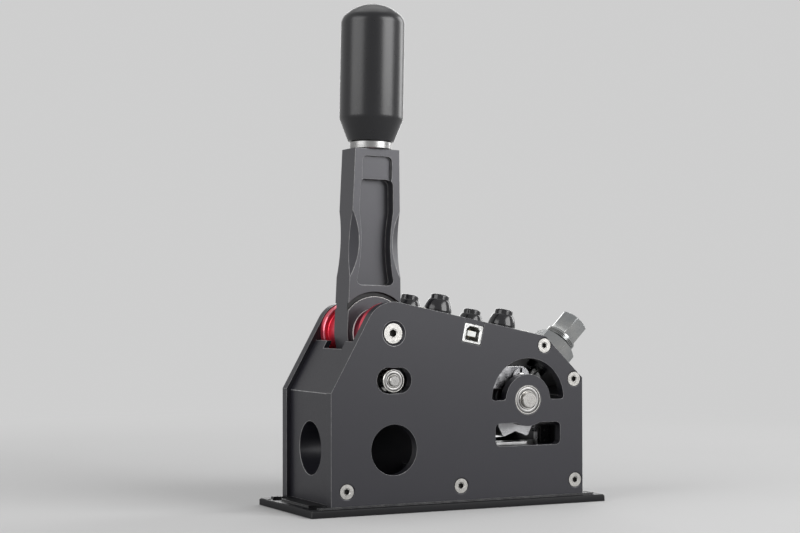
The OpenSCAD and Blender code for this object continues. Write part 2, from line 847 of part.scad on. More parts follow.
module panel_screws() {
    color([0.75, 0.75, 0.76])
        for (p = block_spots)
            on_panel(p[0], p[1]) small_screw(panel_thk + block_hgt - 1);
}

// Pivot of the lever
module pivot_shaft() {
    color([0.7, 0.71, 0.72])
        at_xz([lever_x, pivot_z])
            difference() {
                rod_y(pivot_r, -inner_y, inner_y);
                both_sides() rod_y(pivot_screw_r + fit_gap, -inner_y - 1, -half_wid + pivot_screw_len + 1);
            }
}

module pivot_screws() {
    color([0.75, 0.75, 0.76])
        both_sides()
            at_xz([lever_x, pivot_z])
                from_left() sunk_screw(pivot_screw_r, pivot_head_r, pivot_sink, pivot_screw_len);
}

module pivot_bush_left() {
    color([0.75, 0.05, 0.1])
        at_xz([lever_x, pivot_z])
            difference() {
                union() {
                    rod_y(flange_r, -inner_y, -inner_y + flange_thk);
                    rod_y(bush_r, -inner_y, -bush_y);
                }
                rod_y(pivot_r + fit_gap, -inner_y - 1, -bush_y + 1);
            }
}

module pivot_bush_right() {
    mirror([0, 1, 0]) pivot_bush_left();
}

// A ball bearing in one piece: both rings, and a shield set in between them
module ball_bearing(r0, r1, y0, y1) {
    wall = (r1 - r0) * 0.22;
    difference() {
        rod_y(r1, y0, y1);
        rod_y(r0, y0 - 1, y1 + 1);
        for (y = [y0 - 1, y1 - 0.4])
            difference() {
                rod_y(r1 - wall, y, y + 1.4);
                rod_y(r0 + wall, y - 1, y + 2.4);
            }
    }
}

module lever_bearing_left() {
    color([0.72, 0.73, 0.74])
        at_xz([lever_x, pivot_z])
            ball_bearing(pivot_r + run_gap, lever_bearing_r, -face_y, -face_y + lever_bearing_wid);
}

module lever_bearing_right() {
    mirror([0, 1, 0]) lever_bearing_left();
}

// Lever
module pocket_outline() {
    run = pocket_half_low - pocket_half_top;
    rise = pocket_high - pocket_low;
    n = [rise, run] / norm([rise, run]);
    k = pocket_half_top * n[0] + pocket_high * n[1];
    r = pocket_corner;
    high = pocket_high - r;
    low = pocket_low + r;
    xh = (k - r - high * n[1]) / n[0];
    xl = (k - r - low * n[1]) / n[0];
    mid = (pocket_half_top + pocket_half_low) / 2 - pocket_bow;
    bow_r = (pow(scoop_len / 2, 2) + pow(pocket_bow, 2)) / (2 * pocket_bow);
    difference() {
        union() {
            polygon([
                [-xh, pocket_high], [xh, pocket_high], [xh + r * n[0], high + r * n[1]],
                [xl + r * n[0], low + r * n[1]], [xl, pocket_low], [-xl, pocket_low],
                [-xl - r * n[0], low + r * n[1]], [-xh - r * n[0], high + r * n[1]]
            ]);
            for (side = [-1, 1]) {
                translate([side * xh, high]) circle(r = r);
                translate([side * xl, low]) circle(r = r);
            }
        }
        for (side = [-1, 1])
            translate([side * (mid + bow_r), scoop_z]) circle(r = bow_r);
    }
}

module cap_pocket_outline() {
    translate([0, pocket_high + cap_pocket_len / 2 - 1])
        round_rect(2 * cap_pocket_half, cap_pocket_len + 2, pocket_corner - 0.5);
}

module blade() {
    c = cos(blade_ang);
    s = sin(blade_ang);
    difference() {
        slab(-face_y, face_y) {
            polygon([
                [-hub_r * c, hub_r * s], [hub_r * c, hub_r * s],
                [blade_half, blade_top], [-blade_half, blade_top]
            ]);
            circle(r = hub_r);
        }
        // Scoops along the four long edges
        for (side = [0, 1], face = [0, 1])
            mirror([side, 0, 0])
                mirror([0, face, 0])
                    translate([hub_r - scoop_z * tan(blade_ang), -face_y, scoop_z])
                        rotate([0, 0, scoop_turn])
                            translate([0, -scoop_r + scoop_dep, 0])
                                rotate([0, 90, 0]) cylinder(r = scoop_r, h = 3 * lever_thk, center = true);
        both_sides() {
            slab(-face_y - 1, -face_y + pocket_dep) pocket_outline();
            slab(-face_y - 1, -face_y + cap_pocket_dep) cap_pocket_outline();
        }
        translate([0, 0, blade_top - stud_dep]) cylinder(r = stud_r + fit_gap, h = stud_dep + 1);
    }
}

module toe() {
    s = (hub_r - toe_r) / roller_arm;
    c = sqrt(1 - s * s);
    slab(-face_y, face_y) {
        polygon([
            [-hub_r * c, -hub_r * s], [-toe_r * c, -roller_arm - toe_r * s],
            [toe_r * c, -roller_arm - toe_r * s], [hub_r * c, -hub_r * s]
        ]);
        translate([0, -roller_arm]) circle(r = toe_r);
    }
}

module in_lever() {
    at_xz([lever_x, pivot_z]) rotate([0, lever_lean, 0]) children();
}

module lever() {
    color([0.27, 0.27, 0.28])
        difference() {
            union() {
                in_lever() blade();
                at_xz([lever_x, pivot_z]) toe();
            }
            at_xz([lever_x, pivot_z]) {
                both_sides()
                    rod_y(lever_bearing_r + fit_gap, -face_y - 1, -face_y + lever_bearing_wid + fit_gap);
                rod_y(lever_bearing_r - 1.5, -face_y, face_y);
                both_sides()
                    difference() {
                        rod_y(groove_r + groove_wid, -face_y - 1, -face_y + groove_dep);
                        rod_y(groove_r, -face_y - 2, -face_y + groove_dep + 1);
                    }
            }
            at_xz([lever_x, roller_z]) rod_y(pin_r + fit_gap, -face_y - 1, face_y + 1);
        }
}

// Grip
module grip_stud() {
    color([0.65, 0.66, 0.67])
        in_lever()
            translate([0, 0, blade_top - stud_dep])
                cylinder(r = stud_r, h = 2 * stud_dep + collar_hgt);
}

module grip_collar() {
    edge = 0.5;
    color([0.8, 0.8, 0.81])
        in_lever()
            translate([0, 0, blade_top])
                difference() {
                    union() {
                        cylinder(r1 = collar_r - edge, r2 = collar_r, h = edge);
                        translate([0, 0, edge]) cylinder(r = collar_r, h = collar_hgt - 2 * edge);
                        translate([0, 0, collar_hgt - edge])
                            cylinder(r1 = collar_r, r2 = collar_r - edge, h = edge);
                    }
                    translate([0, 0, -1]) cylinder(r = stud_r + fit_gap, h = collar_hgt + 2);
                }
}

module shift_grip() {
    body_z = grip_foot_hgt + grip_body_hgt;
    shoulder_x = grip_r - grip_shoulder_r;
    // The crown's radius makes it run into the shoulder without a corner
    crown_r = (pow(shoulder_x, 2) + pow(grip_dome_hgt, 2) - pow(grip_shoulder_r, 2))
        / (2 * (grip_dome_hgt - grip_shoulder_r));
    crown_z = body_z + grip_dome_hgt - crown_r;
    reach = 2 * crown_r;
    lean = atan2(shoulder_x, body_z - crown_z);
    color([0.09, 0.09, 0.1])
        in_lever()
            translate([0, 0, blade_top + collar_hgt])
                difference() {
                    rotate_extrude() {
                        polygon([
                            [0, 0], [grip_foot_r, 0], [grip_r, grip_foot_hgt], [grip_r, body_z],
                            [shoulder_x, body_z], [0, crown_z]
                        ]);
                        translate([shoulder_x, body_z])
                            intersection() {
                                circle(r = grip_shoulder_r);
                                square(grip_shoulder_r + 1);
                            }
                        translate([0, crown_z])
                            intersection() {
                                circle(r = crown_r);
                                polygon([[0, 0], [reach * sin(lean), reach * cos(lean)], [0, reach]]);
                            }
                    }
                    translate([0, 0, -1]) cylinder(r = stud_r + fit_gap, h = stud_dep + 2);
                }
}

// Roller axle and what sits on it
module roller_axle() {
    edge = 0.4;
    reach = half_wid + axle_proud - edge;
    color([0.75, 0.76, 0.77])
        at_xz([lever_x, roller_z])
            union() {
                rod_y(pin_r, -reach, reach);
                both_sides()
                    translate([0, -reach, 0])
                        rotate([90, 0, 0]) cylinder(r1 = pin_r, r2 = pin_r - edge, h = edge);
            }
}

module spacer_pair(r0, r1, y0, y1) {
    both_sides()
        difference() {
            rod_y(r1, y0, y1);
            rod_y(r0, y0 - 1, y1 + 1);
        }
}

module inner_spacers() {
    color([0.6, 0.61, 0.62])
        at_xz([lever_x, roller_z])
            spacer_pair(pin_r + fit_gap, pin_r + 2, -link_in + side_gap, -face_y);
}

module outer_spacers() {
    color([0.6, 0.61, 0.62])
        at_xz([lever_x, roller_z])
            spacer_pair(pin_r + fit_gap, pin_r + 1.6, -roller_in + side_gap, -link_in - link_thk - side_gap);
}

module slot_roller() {
    color([0.78, 0.78, 0.79])
        at_xz([lever_x, roller_z])
            ball_bearing(pin_r + run_gap, roller_r, -roller_in - roller_wid, -roller_in);
}

module roller_left() {
    slot_roller();
}

module roller_right() {
    mirror([0, 1, 0]) slot_roller();
}

// Link bars
module link_bar() {
    span = shaft_x - lever_x;
    color([0.62, 0.63, 0.65])
        at_xz([lever_x, roller_z])
            difference() {
                slab(-link_in - link_thk, -link_in) {
                    circle(r = link_r);
                    translate([0, -link_r]) square([span, 2 * link_r]);
                    translate([span, 0]) circle(r = link_r);
                }
                rod_y(pin_r + run_gap, -half_wid, 0);
                translate([span, 0, 0]) rod_y(pin_r + eye_slack, -half_wid, 0);
            }
}

module link_bar_left() {
    link_bar();
}

module link_bar_right() {
    mirror([0, 1, 0]) link_bar();
}

// Rocker
module cheek_outline() {
    bottom = -lobe_z - lobe_tip_r;
    crank_s = (cheek_r - link_r) / crank_arm;
    crank_c = sqrt(1 - crank_s * crank_s);
    track_ang = 90 - chamfer_ang;
    difference() {
        union() {
            circle(r = cheek_r);
            // Crank lug
            polygon([
                [cheek_r * crank_c, cheek_r * crank_s],
                [link_r * crank_c, crank_arm + link_r * crank_s],
                [-link_r * crank_c, crank_arm + link_r * crank_s],
                [-cheek_r * crank_c, cheek_r * crank_s]
            ]);
            translate([0, crank_arm]) circle(r = link_r);
            // Lower lobes with the notch between them
            polygon([
                [-cheek_r, 0], [-lobe_x - lobe_tip_r - 2, -lobe_z + 3.6], [-lobe_x - lobe_tip_r, -lobe_z],
                [-lobe_x, bottom], [0, bottom + lobe_notch], [lobe_x, bottom],
                [lobe_x + lobe_tip_r, -lobe_z], [lobe_x + lobe_tip_r + 2, -lobe_z + 3.6], [cheek_r, 0]
            ]);
            for (side = [-1, 1])
                translate([side * lobe_x, -lobe_z]) circle(r = lobe_tip_r);
            // Detent track
            ring_sector(hub_core_r - 1, cam_r, track_ang - cam_half_ang, track_ang + cam_half_ang);
        }
        rotate([0, 0, track_ang])
            translate([cam_r - cam_notch + nose_r + 0.8, 0]) circle(r = nose_r + 0.8);
    }
}

module rocker() {
    color([0.5, 0.51, 0.53])
        at_xz([shaft_x, rocker_z])
            difference() {
                union() {
                    both_sides()
                        slab(-cheek_out, -cheek_out + cheek_thk) cheek_outline();
                    rod_y(hub_core_r, -cheek_out + 1, cheek_out - 1);
                }
                rod_y(shaft_r + fit_gap, -cheek_out - 1, cheek_out + 1);
                translate([0, 0, crank_arm]) rod_y(pin_r + fit_gap, -cheek_out - 1, cheek_out + 1);
            }
}

module rocker_shaft() {
    edge = 0.5;
    reach = half_wid + shaft_proud - edge;
    color([0.75, 0.76, 0.77])
        at_xz([shaft_x, rocker_z])
            union() {
                rod_y(shaft_r, -reach, reach);
                both_sides()
                    translate([0, -reach, 0])
                        rotate([90, 0, 0]) cylinder(r1 = shaft_r, r2 = shaft_r - edge, h = edge);
            }
}

module rocker_bearing_left() {
    color([0.78, 0.78, 0.79])
        at_xz([shaft_x, rocker_z])
            ball_bearing(shaft_r + run_gap, rocker_bearing_r, bearing_out, bearing_out + rocker_bearing_wid);
}

module rocker_bearing_right() {
    mirror([0, 1, 0]) rocker_bearing_left();
}

module shaft_spacers() {
    color([0.62, 0.63, 0.64])
        at_xz([shaft_x, rocker_z])
            spacer_pair(shaft_r + fit_gap, spacer_r, bearing_out + rocker_bearing_wid + side_gap, -cheek_out);
}

module crank_pin() {
    color([0.72, 0.73, 0.74])
        at_xz([shaft_x, rocker_z + crank_arm])
            difference() {
                rod_y(pin_r, -inner_y + 0.8, inner_y - 0.8);
                both_sides() clip_ring(pin_r - 0.5, pin_r + 1);
            }
}

module clip_ring(r0, r1) {
    difference() {
        rod_y(r1, -link_in - link_thk - side_gap - 0.8, -link_in - link_thk - side_gap);
        rod_y(r0, -inner_y, 0);
    }
}

module pin_clips() {
    color([0.45, 0.46, 0.48])
        both_sides()
            at_xz([shaft_x, rocker_z + crank_arm])
                difference() {
                    clip_ring(pin_r - 0.5 + fit_gap, pin_r + 2.4);
                    translate([-0.7, -inner_y, 0]) cube([1.4, inner_y, pin_r + 3]);
                }
}

// Force adjuster
module adjuster_nut() {
    color([0.68, 0.7, 0.72])
        on_adjuster()
            difference() {
                union() {
                    translate([0, 0, face_out])
                        intersection() {
                            rotate([0, 0, nut_turn]) hex_prism(nut_af, nut_hgt);
                            hex_cone(nut_af, nut_hgt);
                        }
                    translate([0, 0, barrel_end]) cylinder(r = barrel_r, h = face_out - barrel_end + 1);
                }
                translate([0, 0, barrel_end + barrel_lip]) cylinder(r = bore_r, h = face_out);
                translate([0, 0, barrel_end - 1]) cylinder(r = nose_r + run_gap, h = barrel_lip + 2);
            }
}

module adjuster_cap() {
    color([0.75, 0.76, 0.78])
        on_adjuster()
            union() {
                translate([0, 0, shank_end]) cylinder(r = plunger_r, h = cap_shank + 1);
                translate([0, 0, cap_foot]) cylinder(r1 = cap_collar_r - cap_edge, r2 = cap_collar_r, h = cap_edge);
                translate([0, 0, cap_foot + cap_edge]) cylinder(r = cap_collar_r, h = cap_collar_hgt - cap_edge);
                translate([0, 0, cap_foot + cap_collar_hgt - cap_edge])
                    intersection() {
                        rotate([0, 0, cap_turn]) hex_prism(cap_af, cap_hgt + cap_edge);
                        hex_cone(cap_af, cap_hgt + cap_edge);
                    }
            }
}

module plunger() {
    color([0.78, 0.79, 0.8])
        on_adjuster()
            union() {
                translate([0, 0, tip_out + nose_r]) sphere(r = nose_r);
                translate([0, 0, tip_out + nose_r]) cylinder(r = nose_r, h = shoulder_out - tip_out);
                translate([0, 0, shoulder_out]) cylinder(r = plunger_r, h = plunger_back - shoulder_out);
            }
}

// The spring is one unbroken tube: a helix whose ends run straight along the axis for one wire
spring_low = plunger_back + 0.1;
spring_high = shank_end - 0.1;
spring_rings = 8;
spring_sides = 6;
spring_pitch = (spring_high - spring_low - 3 * spring_wire) / spring_turns;
function coil_point(k) =
    let (turn = k / spring_rings, z = spring_low + 1.5 * spring_wire + spring_pitch * turn)
    [spring_r * cos(360 * turn), spring_r * sin(360 * turn), z];
coil_count = spring_rings * spring_turns;
coil_path = concat(
    [[spring_r, 0, spring_low]],
    [for (k = [0:coil_count]) coil_point(k)],
    [[spring_r, 0, spring_high]]
);
function unit(v) = v / norm(v);
function path_dir(p, i) =
    i == 0 || i == len(p) - 1 ? [0, 0, 1] : unit(p[i + 1] - p[i - 1]);
function tube_ring(p, i, r, sides) =
    let (d = path_dir(p, i), out = unit([p[i][0], p[i][1], 0]), side = unit(cross(d, out)), up = cross(side, d))
    [for (j = [0:sides - 1]) p[i] + r * (cos(360 * j / sides) * up + sin(360 * j / sides) * side)];

module swept_tube(path, r, sides) {
    n = len(path);
    rings = [for (i = [0:n - 1]) each tube_ring(path, i, r, sides)];
    walls = [for (i = [0:n - 2], j = [0:sides - 1])
        let (a = i * sides + j, b = i * sides + (j + 1) % sides)
        each [[a, b, b + sides], [a, b + sides, a + sides]]];
    start = [for (j = [1:sides - 2]) [0, j + 1, j]];
    last = (n - 1) * sides;
    end = [for (j = [1:sides - 2]) [last, last + j, last + j + 1]];
    polyhedron(points = rings, faces = concat(walls, start, end), convexity = 6);
}

// The coil's least gap to itself, measured between points a turn apart
coil_gap = min([for (k = [0:coil_count - spring_rings])
    norm(coil_point(k + spring_rings) - coil_point(k))]) - spring_wire;
echo(plunger_spring_least_gap = coil_gap);

module plunger_spring() {
    color([0.35, 0.36, 0.38])
        on_adjuster() swept_tube(coil_path, spring_wire / 2, spring_sides);
}

// Push buttons
module bezel(i) {
    p = button_spots[i];
    color([0.1, 0.1, 0.11])
        on_panel(p[0], p[1])
            difference() {
                union() {
                    rotate_extrude()
                        intersection() {
                            translate([bezel_foot_r - bezel_bulge_r, 0]) circle(r = bezel_bulge_r);
                            square([bezel_foot_r, bezel_hgt]);
                        }
                    translate([0, 0, -panel_thk - bezel_barrel_len])
                        cylinder(r = bezel_barrel_r, h = panel_thk + bezel_barrel_len + 0.1);
                }
                translate([0, 0, bezel_hgt - button_travel - 4])
                    cylinder(r = button_r + run_gap, h = button_travel + 5);
                translate([0, 0, -panel_thk - bezel_barrel_len / 2])
                    cylinder(r = 2, h = panel_thk + bezel_barrel_len / 2 + bezel_hgt);
            }
}

module bezel_front_left() {
    bezel(0);
}

module bezel_front_right() {
    bezel(1);
}

module bezel_rear_left() {
    bezel(2);
}

module bezel_rear_right() {
    bezel(3);
}

module bezel_nuts() {
    color([0.6, 0.61, 0.63])
        for (p = button_spots)
            on_panel(p[0], p[1])
                translate([0, 0, -panel_thk - button_nut_hgt])
                    difference() {
                        hex_prism(button_nut_af, button_nut_hgt);
                        translate([0, 0, -1]) cylinder(r = bezel_barrel_r + fit_gap, h = button_nut_hgt + 2);
                    }
}

module push_button(i) {
    p = button_spots[i];
    edge = 1;
    foot = bezel_hgt - 4 + side_gap;
    top = bezel_hgt + button_rise;
    color([0.07, 0.07, 0.08])
        on_panel(p[0], p[1])
            union() {
                translate([0, 0, foot]) cylinder(r = button_r, h = top - edge - foot);
                translate([0, 0, top - edge])
                    rotate_extrude() {
                        square([button_r - edge, edge]);
                        translate([button_r - edge, 0])
                            intersection() {
                                circle(r = edge);
                                square(edge);
                            }
                    }
                translate([0, 0, foot - 5]) cylinder(r = 2 - 2 * run_gap, h = 5.1);
            }
}

module button_front_left() {
    push_button(0);
}

module button_front_right() {
    push_button(1);
}

module button_rear_left() {
    push_button(2);
}

module button_rear_right() {
    push_button(3);
}

// Circuit board and socket
module board_spots() {
    for (s = [board_mid - board_len / 2 + 3, board_mid + board_len / 2 - 3], y = [-5, board_far - 3])
        on_panel(s, y) children();
}

module circuit_board() {
    color([0.05, 0.3, 0.15])
        difference() {
            on_panel(board_mid, 0)
                translate([-board_len / 2, -inner_y + panel_gap, -board_drop - board_thk])
                    cube([board_len, inner_y - panel_gap + board_far, board_thk]);
            board_spots() translate([0, 0, -board_drop - board_thk - 1])
                cylinder(r = small_screw_r + fit_gap, h = board_thk + 2);
        }
}

module board_posts() {
    color([0.7, 0.6, 0.3])
        board_spots() {
            translate([0, 0, -board_drop]) cylinder(r = 2.5, h = board_drop - panel_thk);
            translate([0, 0, -board_drop - board_thk - 0.6]) cylinder(r = small_screw_r, h = board_thk + 1);
            translate([0, 0, -board_drop - board_thk - 1.6]) cylinder(r = 2.4, h = 1.6 - fit_gap);
        }
}

module usb_socket() {
    mouth_w = socket_wid - 2 * socket_wall - 0.3;
    mouth_h = socket_hgt - 2 * socket_wall;
    cut = 1.7;
    color([0.78, 0.78, 0.8])
        on_panel(socket_spot, -half_wid)
            translate([0, 0, -panel_thk - socket_hgt / 2])
                difference() {
                    translate([-socket_wid / 2, 0, -socket_hgt / 2])
                        cube([socket_wid, socket_dep, socket_hgt]);
                    difference() {
                        slab(-1, socket_mouth_dep)
                            polygon([
                                [-mouth_w / 2, -mouth_h / 2], [mouth_w / 2, -mouth_h / 2],
                                [mouth_w / 2, mouth_h / 2 - cut], [mouth_w / 2 - cut, mouth_h / 2],
                                [-mouth_w / 2 + cut, mouth_h / 2], [-mouth_w / 2, mouth_h / 2 - cut]
                            ]);
                        translate([-2.8, 1.5, -1.6]) cube([5.6, socket_mouth_dep, 3.2]);
                    }
                }
}

// Switches under the rocker
module bracket_spots() {
    for (x = [shaft_x - 10, shaft_x + 10])
        translate([x, -cheek_out - 1.6, 0]) children();
}

module switch_bracket() {
    back = switch_reach + switch_len;
    ledge_z = rocker_z - ledge_drop;
    color([0.66, 0.67, 0.69])
        difference() {
            union() {
                slab(web_y, web_y + sheet_thk)
                    polygon([
                        [shaft_x - back, deck], [shaft_x + back, deck],
                        [shaft_x + back, switch_top], [shaft_x + switch_reach, switch_top],
                        [shaft_x + switch_reach, ledge_z], [shaft_x - switch_reach, ledge_z],
                        [shaft_x - switch_reach, switch_top], [shaft_x - back, switch_top]
                    ]);
                translate([shaft_x - ledge_shift - ledge_len / 2, -cheek_out, ledge_z - sheet_thk])
                    cube([ledge_len, cheek_out + web_y + 0.1, sheet_thk]);
                translate([shaft_x - back, -cheek_out - 5, deck])
                    cube([2 * back, cheek_out + 5 + web_y + 0.1, sheet_thk]);
            }
            bracket_spots() cylinder(r = small_screw_r + 0.2, h = deck + sheet_thk + 1);
        }
}

module bracket_screws() {
    color([0.75, 0.75, 0.76])
        bracket_spots() translate([0, 0, deck + sheet_thk]) small_screw(deck + sheet_thk - 0.5);
}

module micro_switch_rear() {
    color([0.06, 0.06, 0.07])
        at_xz([shaft_x, switch_top])
            difference() {
                translate([switch_reach, web_y - switch_wid, -switch_hgt])
                    cube([switch_len, switch_wid, switch_hgt]);
                // Seat of the arm's hinge
                translate([switch_reach - 1, arm_y - arm_wid / 2 - side_gap, hinge_z - 1])
                    cube([1 + 2 * hinge_r + side_gap, arm_wid + 2 * side_gap, 2]);
            }
}

module micro_switch_front() {
    translate([2 * shaft_x, 0, 0]) mirror([1, 0, 0]) micro_switch_rear();
}

// The arm stands along the switch's face and carries a roller at its upper end
module switch_arm_rear() {
    arm_x0 = arm_x + arm_r - 0.3;
    color([0.7, 0.71, 0.72])
        at_xz([shaft_x, switch_top]) {
            translate([arm_x0, arm_y - arm_wid / 2, hinge_z - 0.5]) cube([0.5, arm_wid, -hinge_z - 1.6]);
            translate([arm_x0, arm_y - arm_wid / 2, hinge_z - 0.5])
                cube([hinge_x - arm_x0, arm_wid, 1]);
            translate([hinge_x, 0, hinge_z]) rod_y(hinge_r, arm_y - arm_wid / 2, arm_y + arm_wid / 2);
            translate([arm_x, 0, -2.6]) rod_y(arm_r, arm_y - arm_wid / 2, arm_y + arm_wid / 2);
        }
}

module switch_arm_front() {
    translate([2 * shaft_x, 0, 0]) mirror([1, 0, 0]) switch_arm_rear();
}

base_plate();
base_screws();
side_plate_left();
side_plate_right();
front_plate();
rear_plate();
adjuster_plate();
cross_bar();
top_panel();
panel_blocks();
panel_screws();
plate_screws();
pivot_screws();
pivot_shaft();
pivot_bush_left();
pivot_bush_right();
rocker_bearing_left();
rocker_bearing_right();
lever();
lever_bearing_left();
lever_bearing_right();
grip_stud();
grip_collar();
shift_grip();
roller_axle();
inner_spacers();
outer_spacers();
roller_left();
roller_right();
link_bar_left();
link_bar_right();
rocker();
rocker_shaft();
shaft_spacers();
crank_pin();
pin_clips();
adjuster_nut();
adjuster_cap();
plunger();
plunger_spring();
bezel_front_left();
bezel_front_right();
bezel_rear_left();
bezel_rear_right();
bezel_nuts();
button_front_left();
button_front_right();
button_rear_left();
button_rear_right();
circuit_board();
board_posts();
usb_socket();
switch_bracket();
bracket_screws();
micro_switch_front();
micro_switch_rear();
switch_arm_front();
switch_arm_rear();
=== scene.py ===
import json
import math

import bmesh
import bpy
from mathutils import Matrix, Vector


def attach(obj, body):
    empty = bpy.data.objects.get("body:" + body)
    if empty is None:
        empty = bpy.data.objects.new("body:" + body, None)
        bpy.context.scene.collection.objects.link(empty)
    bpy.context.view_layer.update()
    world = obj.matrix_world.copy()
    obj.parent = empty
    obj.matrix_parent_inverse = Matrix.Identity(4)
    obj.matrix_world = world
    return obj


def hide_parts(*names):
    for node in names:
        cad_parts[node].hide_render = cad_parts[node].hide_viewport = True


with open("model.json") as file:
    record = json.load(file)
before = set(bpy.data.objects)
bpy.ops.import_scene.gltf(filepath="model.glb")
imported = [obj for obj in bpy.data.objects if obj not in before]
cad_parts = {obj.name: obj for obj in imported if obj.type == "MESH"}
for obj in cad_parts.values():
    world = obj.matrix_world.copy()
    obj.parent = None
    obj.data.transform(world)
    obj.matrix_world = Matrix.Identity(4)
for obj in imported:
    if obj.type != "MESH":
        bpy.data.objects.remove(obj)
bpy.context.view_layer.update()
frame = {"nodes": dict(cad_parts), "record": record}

nodes = frame["nodes"]
record = frame["record"]
slot_of = {row["node"]: row["material_slot"] for row in record["subparts"]}
body_of = {node: body for body, row in record["behaviour"]["bodies"].items() for node in row}
MM = 0.001
ALONG_Y = (0, 1, 0)

# Materials: most values of a noise lie between these two

NOISE_LOW = 0.3
NOISE_HIGH = 0.7
GRAIN_HEIGHT = 0.03 * MM


def start(name, rgb, metallic, rough):
    """A new material with its node tree and its surface node."""
    mat = bpy.data.materials.new(name)
    mat.use_nodes = True
    mat.diffuse_color = (*rgb, 1)
    tree = mat.node_tree
    bsdf = tree.nodes["Principled BSDF"]
    bsdf.inputs["Metallic"].default_value = metallic
    bsdf.inputs["Roughness"].default_value = rough
    return mat, tree, bsdf


def object_coords(tree, stretch=(1, 1, 1)):
    """The object's own coordinates, stretched for brushed marks."""
    coords = tree.nodes.new("ShaderNodeTexCoord")
    mapping = tree.nodes.new("ShaderNodeMapping")
    mapping.inputs["Scale"].default_value = stretch
    tree.links.new(coords.outputs["Object"], mapping.inputs["Vector"])
    return mapping.outputs["Vector"]


def noise(tree, vector, scale, detail=3.0, soft=0.55):
    """A noise value for every place."""
    node = tree.nodes.new("ShaderNodeTexNoise")
    node.inputs["Scale"].default_value = scale
    node.inputs["Detail"].default_value = detail
    node.inputs["Roughness"].default_value = soft
    tree.links.new(vector, node.inputs["Vector"])
    return node.outputs["Fac"]


def spread(tree, fac, low, high):
    """A noise value spread over a range of another value."""
    node = tree.nodes.new("ShaderNodeMapRange")
    node.inputs["From Min"].default_value = NOISE_LOW
    node.inputs["From Max"].default_value = NOISE_HIGH
    node.inputs["To Min"].default_value = low
    node.inputs["To Max"].default_value = high
    tree.links.new(fac, node.inputs["Value"])
    return node.outputs["Result"]


def ramp(tree, fac, rgb_low, rgb_high):
    """A noise value turned into a colour between two others."""
    node = tree.nodes.new("ShaderNodeValToRGB")
    low, high = node.color_ramp.elements
    low.position = NOISE_LOW
    low.color = (*rgb_low, 1)
    high.position = NOISE_HIGH
    high.color = (*rgb_high, 1)
    tree.links.new(fac, node.inputs["Fac"])
    return node.outputs["Color"]


def blend(tree, fac, colour_a, colour_b):
    """One colour that goes over into another with a noise value."""
    node = tree.nodes.new("ShaderNodeMix")
    node.data_type = "RGBA"
    tree.links.new(fac, node.inputs["Factor"])
    tree.links.new(colour_a, node.inputs["A"])
    tree.links.new(colour_b, node.inputs["B"])
    return node.outputs["Result"]


def relief(tree, bsdf, height, strength):
    """A fine grain on the surface."""
    node = tree.nodes.new("ShaderNodeBump")
    node.inputs["Strength"].default_value = strength
    node.inputs["Distance"].default_value = GRAIN_HEIGHT
    tree.links.new(height, node.inputs["Height"])
    tree.links.new(node.outputs["Normal"], bsdf.inputs["Normal"])


def times(rgb, k):
    """A colour made lighter or darker."""
    return tuple(min(1.0, c * k) for c in rgb)


def finish(name, rgb, metallic=0.0, rough=0.4, vary=0.1, cloud=18, grain=1500, depth=0.1,
           stretch=(1, 1, 1), other=None, worn=None, patch=420, gloss_vary=0.05, vector=None):
    """A surface with clouded colour, fine specks, uneven gloss, a fine grain and, if named, worn patches."""
    mat, tree, bsdf = start(name, rgb, metallic, rough)
    plain = object_coords(tree)
    lined = vector(tree) if vector else object_coords(tree, stretch)
    colour = ramp(tree, noise(tree, plain, cloud), times(rgb, 1 - vary), times(other or rgb, 1 + vary))
    speck = ramp(tree, noise(tree, lined, grain * 0.6), times(rgb, 0.9), times(rgb, 1.1))
    colour = blend(tree, spread(tree, noise(tree, plain, cloud * 7), 0.15, 0.5), colour, speck)
    if worn:
        bare = ramp(tree, noise(tree, plain, grain), times(worn, 0.8), worn)
        colour = blend(tree, spread(tree, noise(tree, plain, patch, 5, 0.65), -0.3, 1.1), colour, bare)
    tree.links.new(colour, bsdf.inputs["Base Color"])
    gloss = spread(tree, noise(tree, lined, grain * 0.4, 4), rough - gloss_vary, rough + gloss_vary)
    tree.links.new(gloss, bsdf.inputs["Roughness"])
    relief(tree, bsdf, noise(tree, lined, grain, 2), depth)
    return mat


def round_coords(centre, axis):
    """Coordinates that run outwards from and along an axis, so that marks lie in rings round it."""
    def build(tree):
        coords = tree.nodes.new("ShaderNodeTexCoord")
        sub = tree.nodes.new("ShaderNodeVectorMath")
        sub.operation = "SUBTRACT"
        sub.inputs[1].default_value = [c * MM for c in centre]
        tree.links.new(coords.outputs["Object"], sub.inputs[0])
        cross = tree.nodes.new("ShaderNodeVectorMath")
        cross.operation = "CROSS_PRODUCT"
        cross.inputs[1].default_value = axis
        tree.links.new(sub.outputs["Vector"], cross.inputs[0])
        length = tree.nodes.new("ShaderNodeVectorMath")
        length.operation = "LENGTH"
        tree.links.new(cross.outputs["Vector"], length.inputs[0])
        dot = tree.nodes.new("ShaderNodeVectorMath")
        dot.operation = "DOT_PRODUCT"
        dot.inputs[1].default_value = axis
        tree.links.new(sub.outputs["Vector"], dot.inputs[0])
        both = tree.nodes.new("ShaderNodeCombineXYZ")
        tree.links.new(length.outputs["Value"], both.inputs["X"])
        tree.links.new(dot.outputs["Value"], both.inputs["Y"])
        return both.outputs["Vector"]
    return build


def turned(name, rgb, centre, axis, rough=0.24, depth=0.12, pitch=2600):
    """Bare metal with the fine rings that a lathe leaves round an axis."""
    return finish(name, rgb, 1.0, rough, 0.06, 90, pitch, depth, vector=round_coords(centre, axis))


